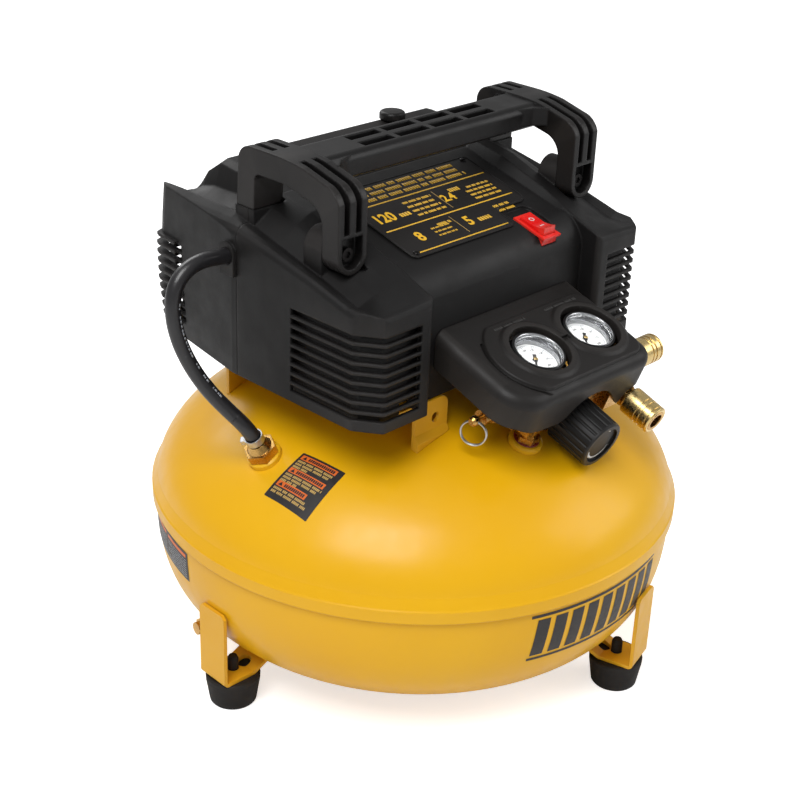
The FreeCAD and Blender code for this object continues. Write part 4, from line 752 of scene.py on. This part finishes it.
# name ending, (radius, height) profile, material, slot, segments, thickness
GAUGE_RINGS = (
    ("_gauge_bezel", ((19.3, 0.93), (18.6, 1.15), (17.9, 0.9), (17.6, 0.3), (17.52, -0.9)),
     "chrome_ring", "lens_clear", 72, FINE_THICKNESS),
    ("_gauge_inner_ring", ((17.56, -2.4), (17.56, -5.0), (17.2, -5.4), (17.2, -8.95)),
     "chrome_ring", "lens_clear", 72, FINE_THICKNESS),
    ("_gauge_liner", ((20.75, -8.6), (22.4, -9.4), (24.6, -9.8)),
     "switch_plastic", "shroud_black", 64, RAISED_THICKNESS),
)
BOSS_PROFILE = ((1.75, -7.34), (1.65, -7.0), (1.1, -6.75), (0.02, -6.68))


def dial_angle(step, steps):
    return math.radians(DIAL_START - DIAL_SWEEP * step / steps)


def dial_marks():
    quads = []
    for i in range(TICK_STEPS + 1):
        inner, half = SHORT_TICK if i % 5 else LONG_TICK
        angle = dial_angle(i, TICK_STEPS)
        cos, sin = math.cos(angle), math.sin(angle)
        quads.append([(radius * cos + side * sin, radius * sin - side * cos)
                      for radius, side in ((inner, half), (TICK_OUTER, half),
                                           (TICK_OUTER, -half), (inner, -half))])
    for i in range(ARC_STEPS):
        start, end = dial_angle(i, ARC_STEPS), dial_angle(i + 1, ARC_STEPS)
        quads += [arc_block(inner, outer, end, start) for inner, outer in DIAL_ARCS]
    return quads


def gauge(name, centre_x):
    def place(x, y, height=DIAL_HEIGHT):
        return on_console(centre_x + x, GAUGE_V + y, height)

    flat_print(name + "_dial_ticks", dial_marks(), "ink_grey", "dial_white", place,
               thickness=FINE_THICKNESS, cell=4.0)
    for k in range(NUMBER_STEPS + 1):
        number_x, number_y = polar(NUMBER_RADIUS, dial_angle(k, NUMBER_STEPS))
        number(name + "_dial_number_%d" % k, str(25 * k), 2.6, "ink_black", "dial_white",
               lambda x, y: place(number_x + x, number_y + y))
    for ending, profile, material, slot, segments, thickness in GAUGE_RINGS:
        lathe(name + ending, profile, place, material, slot, segments, thickness=thickness)
    lathe(name + "_needle_boss", BOSS_PROFILE, place, "brass", "needle_black", 28,
          body=name + "_needle")


for name, centre_x in GAUGES:
    gauge(name, centre_x)

# ---------------------------------------------------------------- knob face
KNOB_X, KNOB_FACE_V, KNOB_HEIGHT = 14.3, -113.62, -49.2
# the tapering white arc on the knob face is a painted highlight on its inner rim
KNOB_HIGHLIGHT_RADIUS = 12.3
KNOB_HIGHLIGHT_STEPS = 30
KNOB_TICKS = ((150.0, 138.0), (118.0, 96.0), (74.0, 60.0))  # start and end, degrees
KNOB_TICK_INNER, KNOB_TICK_OUTER = 12.0, 12.7
KNOB_TICK_STEPS = 6


def on_knob(x, height):
    return on_console(KNOB_X + x, KNOB_FACE_V, KNOB_HEIGHT + height)


def knob_highlight_point(fraction, side):
    """A point on the tapering arc of painted rim highlight; side is -1 for its inner edge, 1 for
    its outer.
    """
    half = 0.25 + 1.15 * (1.0 - fraction) ** 1.2 * min(1.0, fraction * 8.0 + 0.15)
    return polar(KNOB_HIGHLIGHT_RADIUS + side * half, math.radians(-172.0 + 150.0 * fraction))


def knob_marks():
    # painted rim highlight: a white arc that tapers towards its end
    knob_highlight = []
    for i in range(KNOB_HIGHLIGHT_STEPS):
        start, end = i / KNOB_HIGHLIGHT_STEPS, (i + 1) / KNOB_HIGHLIGHT_STEPS
        knob_highlight.append([knob_highlight_point(start, -1), knob_highlight_point(end, -1),
                       knob_highlight_point(end, 1), knob_highlight_point(start, 1)])
    ticks = []
    for first, last in KNOB_TICKS:
        angles = [math.radians(first + (last - first) * i / KNOB_TICK_STEPS)
                  for i in range(KNOB_TICK_STEPS + 1)]
        ticks += [arc_block(KNOB_TICK_INNER, KNOB_TICK_OUTER, end, start)
                  for start, end in zip(angles, angles[1:])]
    for name, quads in (("knob_painted_highlight", knob_highlight), ("knob_ticks", ticks)):
        flat_print(name, quads, "ink_white", "knob_black", on_knob, body="knob",
                   thickness=FINE_THICKNESS)


knob_marks()

# ---------------------------------------------------------------- raised console marks
console_tree = bvh("console_cover")
console_normal = (on_console(0, 0, 1.0) - on_console(0, 0, 0.0)).normalized()
console_draw = random_source(55)


def on_console_cover(u, v):
    """The cover's surface, or a plane near it where the ray lands over 6 mm away."""
    spot = console_tree.ray_cast(on_console(u, v, 20.0), -console_normal)[0]
    if spot and (spot - on_console(u, v, 0.0)).length < 0.006:
        return spot + console_normal * 0.00022
    return on_console(u, v, 1.9)


for side, start, end in (("left", -30.0, 4.0), ("right", 26.0, 62.0)):
    marks = words(start, end, -21.6, 2.9, console_draw, gap=0.2, shortest=2.4, longest=5.0)
    flat_print("console_raised_" + side, marks, "knob_plastic", "shroud_black",
               on_console_cover, thickness=RAISED_THICKNESS, cell=3.0)

# ---------------------------------------------------------------- sealant rings and rivets
HOSE_PORT = Vector((-154.4 * MM, 5.7 * MM, 198.0 * MM))
HOSE_PORT_AXIS = Vector((-0.4848, 0.0178, 0.8744))
NIPPLE = Vector((-15.17 * MM, -123.57 * MM, 212.0 * MM))
NIPPLE_AXIS = Vector((-0.0449, -0.366, 0.9295))
RIVET_PLACES = ((-66.5, 25.5), (66.5, 25.5), (-66.5, -56.5))  # x, v on the sloped top
RIVET_PROFILE = ((2.6, 1.32), (2.4, 2.0), (1.7, 2.5), (0.8, 2.7), (0.02, 2.72))


def sealant_ring(name, profile, origin, axis, material):
    """A ring turned about an axis through origin."""
    axis = axis.normalized()
    across = axis.orthogonal().normalized()
    beside = axis.cross(across)
    lathe(name, profile,
          lambda x, y, h: origin + across * (x * MM) + beside * (y * MM) + axis * (h * MM),
          material, "brass", 40, thickness=0.0002)


def nipple_seat():
    """Height of the bung under the nipple's sealant, 4.2 if the ray misses."""
    offset = NIPPLE_AXIS.orthogonal().normalized() * 0.0095
    spot = bvh("tank_bungs").ray_cast(NIPPLE + NIPPLE_AXIS * 0.05 + offset, -NIPPLE_AXIS)[0]
    return (spot - NIPPLE).dot(NIPPLE_AXIS) / MM if spot else 4.2


sealant_ring("hose_port_sealant", [(6.95, 4.35), (8.6, 4.7), (9.9, 4.45), (10.2, 4.25)],
             HOSE_PORT, HOSE_PORT_AXIS, "sealant")
seat = nipple_seat()
sealant_ring("nipple_sealant",
             [(6.95, seat + 0.05), (7.6, seat + 0.9), (9.0, seat + 0.7), (9.9, seat + 0.05)],
             NIPPLE, NIPPLE_AXIS, "ink_red")
for i, (u, v) in enumerate(RIVET_PLACES):
    lathe("plate_rivet_%d" % i, RIVET_PROFILE, lambda x, y, h: on_top(u + x, v + y, h),
          "black_bolt", "plate_print", 24)

# ---------------------------------------------------------------- delivery hose print
# x, y, z along the hose's centre line
HOSE_LINE = (
    (-153.5, 48.5, 341.8), (-168.4, 49.0, 342.9), (-186.0, 49.2, 340.4), (-197.4, 49.0, 331.0),
    (-202.0, 48.0, 314.5), (-201.2, 45.5, 297.0), (-197.2, 41.0, 279.5), (-191.0, 34.5, 262.8),
    (-184.0, 26.5, 248.8), (-175.8, 16.5, 235.6),
)
HOSE_RADIUS = 5.7
HOSE_PRINT_START, HOSE_PRINT_END = 3.7, 8.2  # counted in stations of HOSE_LINE
HOSE_PRINT_HALF = 0.75
hose_tree = bvh("delivery_hose")


def on_hose(station, offset):
    """The hose's front side; offset is measured round it."""
    i = min(int(station), len(HOSE_LINE) - 2)
    here, ahead = Vector(HOSE_LINE[i]), Vector(HOSE_LINE[i + 1])
    centre = (here + (ahead - here) * (station - i)) * MM
    along = (ahead - here).normalized()
    facing = Vector((0.30, -0.95, 0.20))
    facing = (facing - along * facing.dot(along)).normalized()
    outward = (facing + along.cross(facing) * (offset / HOSE_RADIUS)).normalized()
    spot = hose_tree.ray_cast(centre + outward * 0.012, -outward)[0]
    # 5.8 mm from the centre line where the ray misses
    return spot + outward * 0.00006 if spot else centre + outward * 0.0058


def hose_print():
    draw = random_source(91)
    quads = []
    station = HOSE_PRINT_START
    while station < HOSE_PRINT_END:
        length = 0.05 + 0.10 * draw()
        quads.append(rect(station, -HOSE_PRINT_HALF, station + length, HOSE_PRINT_HALF))
        station += length + 0.06 + (0.22 if draw() > 0.8 else 0.0)
    flat_print("hose_print", quads, "ink_grey", "hose_black", on_hose,
               thickness=FINE_THICKNESS, cell=0.6)


hose_print()


# ---------------------------------------------------------------- studio (metres)
def floor(half_size, glow):
    """Pale ground that glows only to the camera."""
    mesh = bpy.data.meshes.new("floor")
    corners = [(x, y, 0) for x, y in rect(-half_size, -half_size, half_size, half_size)]
    mesh.from_pydata(corners, [], [(0, 1, 2, 3)])
    ground = bpy.data.objects.new("floor", mesh)
    scene.collection.objects.link(ground)
    shader = Shader("floor_paper")
    shader.set(Base_Color=shader.mix(shader.mottle(scale=3.0),
                                     (0.86, 0.86, 0.86, 1), (0.88, 0.88, 0.88, 1)))
    shader.set(Roughness=shader.mottle(scale=20.0, target=(0.85, 0.95)))
    shader.bump(shader.noise(scale=400.0), strength=0.02, distance=0.0005)
    shader.set(Emission_Color=(1, 1, 1, 1), Specular_IOR_Level=0.1)
    camera_ray = shader.node("ShaderNodeLightPath").outputs["Is Camera Ray"]
    shader.set(Emission_Strength=shader.math("MULTIPLY", camera_ray, glow))
    mesh.materials.append(shader.material)


def studio_world(light_strength, backdrop_strength):
    """White surroundings, brighter to the camera than as light."""
    world = bpy.data.worlds.new("studio")
    scene.world = world
    world.use_nodes = True
    nodes, links = world.node_tree.nodes, world.node_tree.links
    light = nodes["Background"]
    backdrop = nodes.new("ShaderNodeBackground")
    for node, strength in ((light, light_strength), (backdrop, backdrop_strength)):
        node.inputs[0].default_value = (1.0, 1.0, 1.0, 1.0)
        node.inputs[1].default_value = strength
    light_path = nodes.new("ShaderNodeLightPath")
    switch = nodes.new("ShaderNodeMixShader")
    links.new(light_path.outputs["Is Camera Ray"], switch.inputs[0])
    links.new(light.outputs[0], switch.inputs[1])
    links.new(backdrop.outputs[0], switch.inputs[2])
    links.new(switch.outputs[0], nodes["World Output"].inputs[0])


def area_light(name, location, target, size, power):
    light = bpy.data.lights.new(name, "AREA")
    light.energy = power
    light.size = size
    lamp = bpy.data.objects.new(name, light)
    lamp.location = location
    aim = Vector(target) - Vector(location)
    lamp.rotation_euler = aim.to_track_quat("-Z", "Y").to_euler()
    scene.collection.objects.link(lamp)


def add_camera(location, heading, elevation, roll, lens):
    """A camera turned by heading about Z, raised by elevation and rolled, in degrees."""
    data = bpy.data.cameras.new("camera")
    data.lens = lens
    data.sensor_width = 36.0
    camera = bpy.data.objects.new("camera", data)
    scene.collection.objects.link(camera)
    heading, elevation, roll = (math.radians(angle) for angle in (heading, elevation, roll))
    right = Vector((math.cos(heading), math.sin(heading), 0))
    back = Vector((math.sin(heading) * math.cos(elevation),
                   -math.cos(heading) * math.cos(elevation), math.sin(elevation)))
    up = back.cross(right)
    x_axis = right * math.cos(roll) + up * math.sin(roll)
    y_axis = -right * math.sin(roll) + up * math.cos(roll)
    pose = Matrix((x_axis, y_axis, back)).transposed().to_4x4()
    pose.translation = location
    camera.matrix_world = pose
    scene.camera = camera


floor(half_size=6.0, glow=0.62)
studio_world(light_strength=0.40, backdrop_strength=1.0)
area_light("key", location=(-1.1, -0.5, 1.9), target=(0, 0, 0.2), size=1.1, power=33.0)
area_light("fill", location=(1.3, -1.3, 1.2), target=(0, 0, 0.2), size=1.2, power=12.0)
area_light("back", location=(0.3, 1.6, 1.5), target=(0, 0, 0.25), size=1.2, power=16.0)
add_camera(location=(-0.819463, -0.757535, 0.746539),
           heading=-46.56, elevation=26.31, roll=2.24, lens=70.52)
scene.view_settings.view_transform = "Standard"
scene.view_settings.look = "None"
scene.view_settings.exposure = 0.0
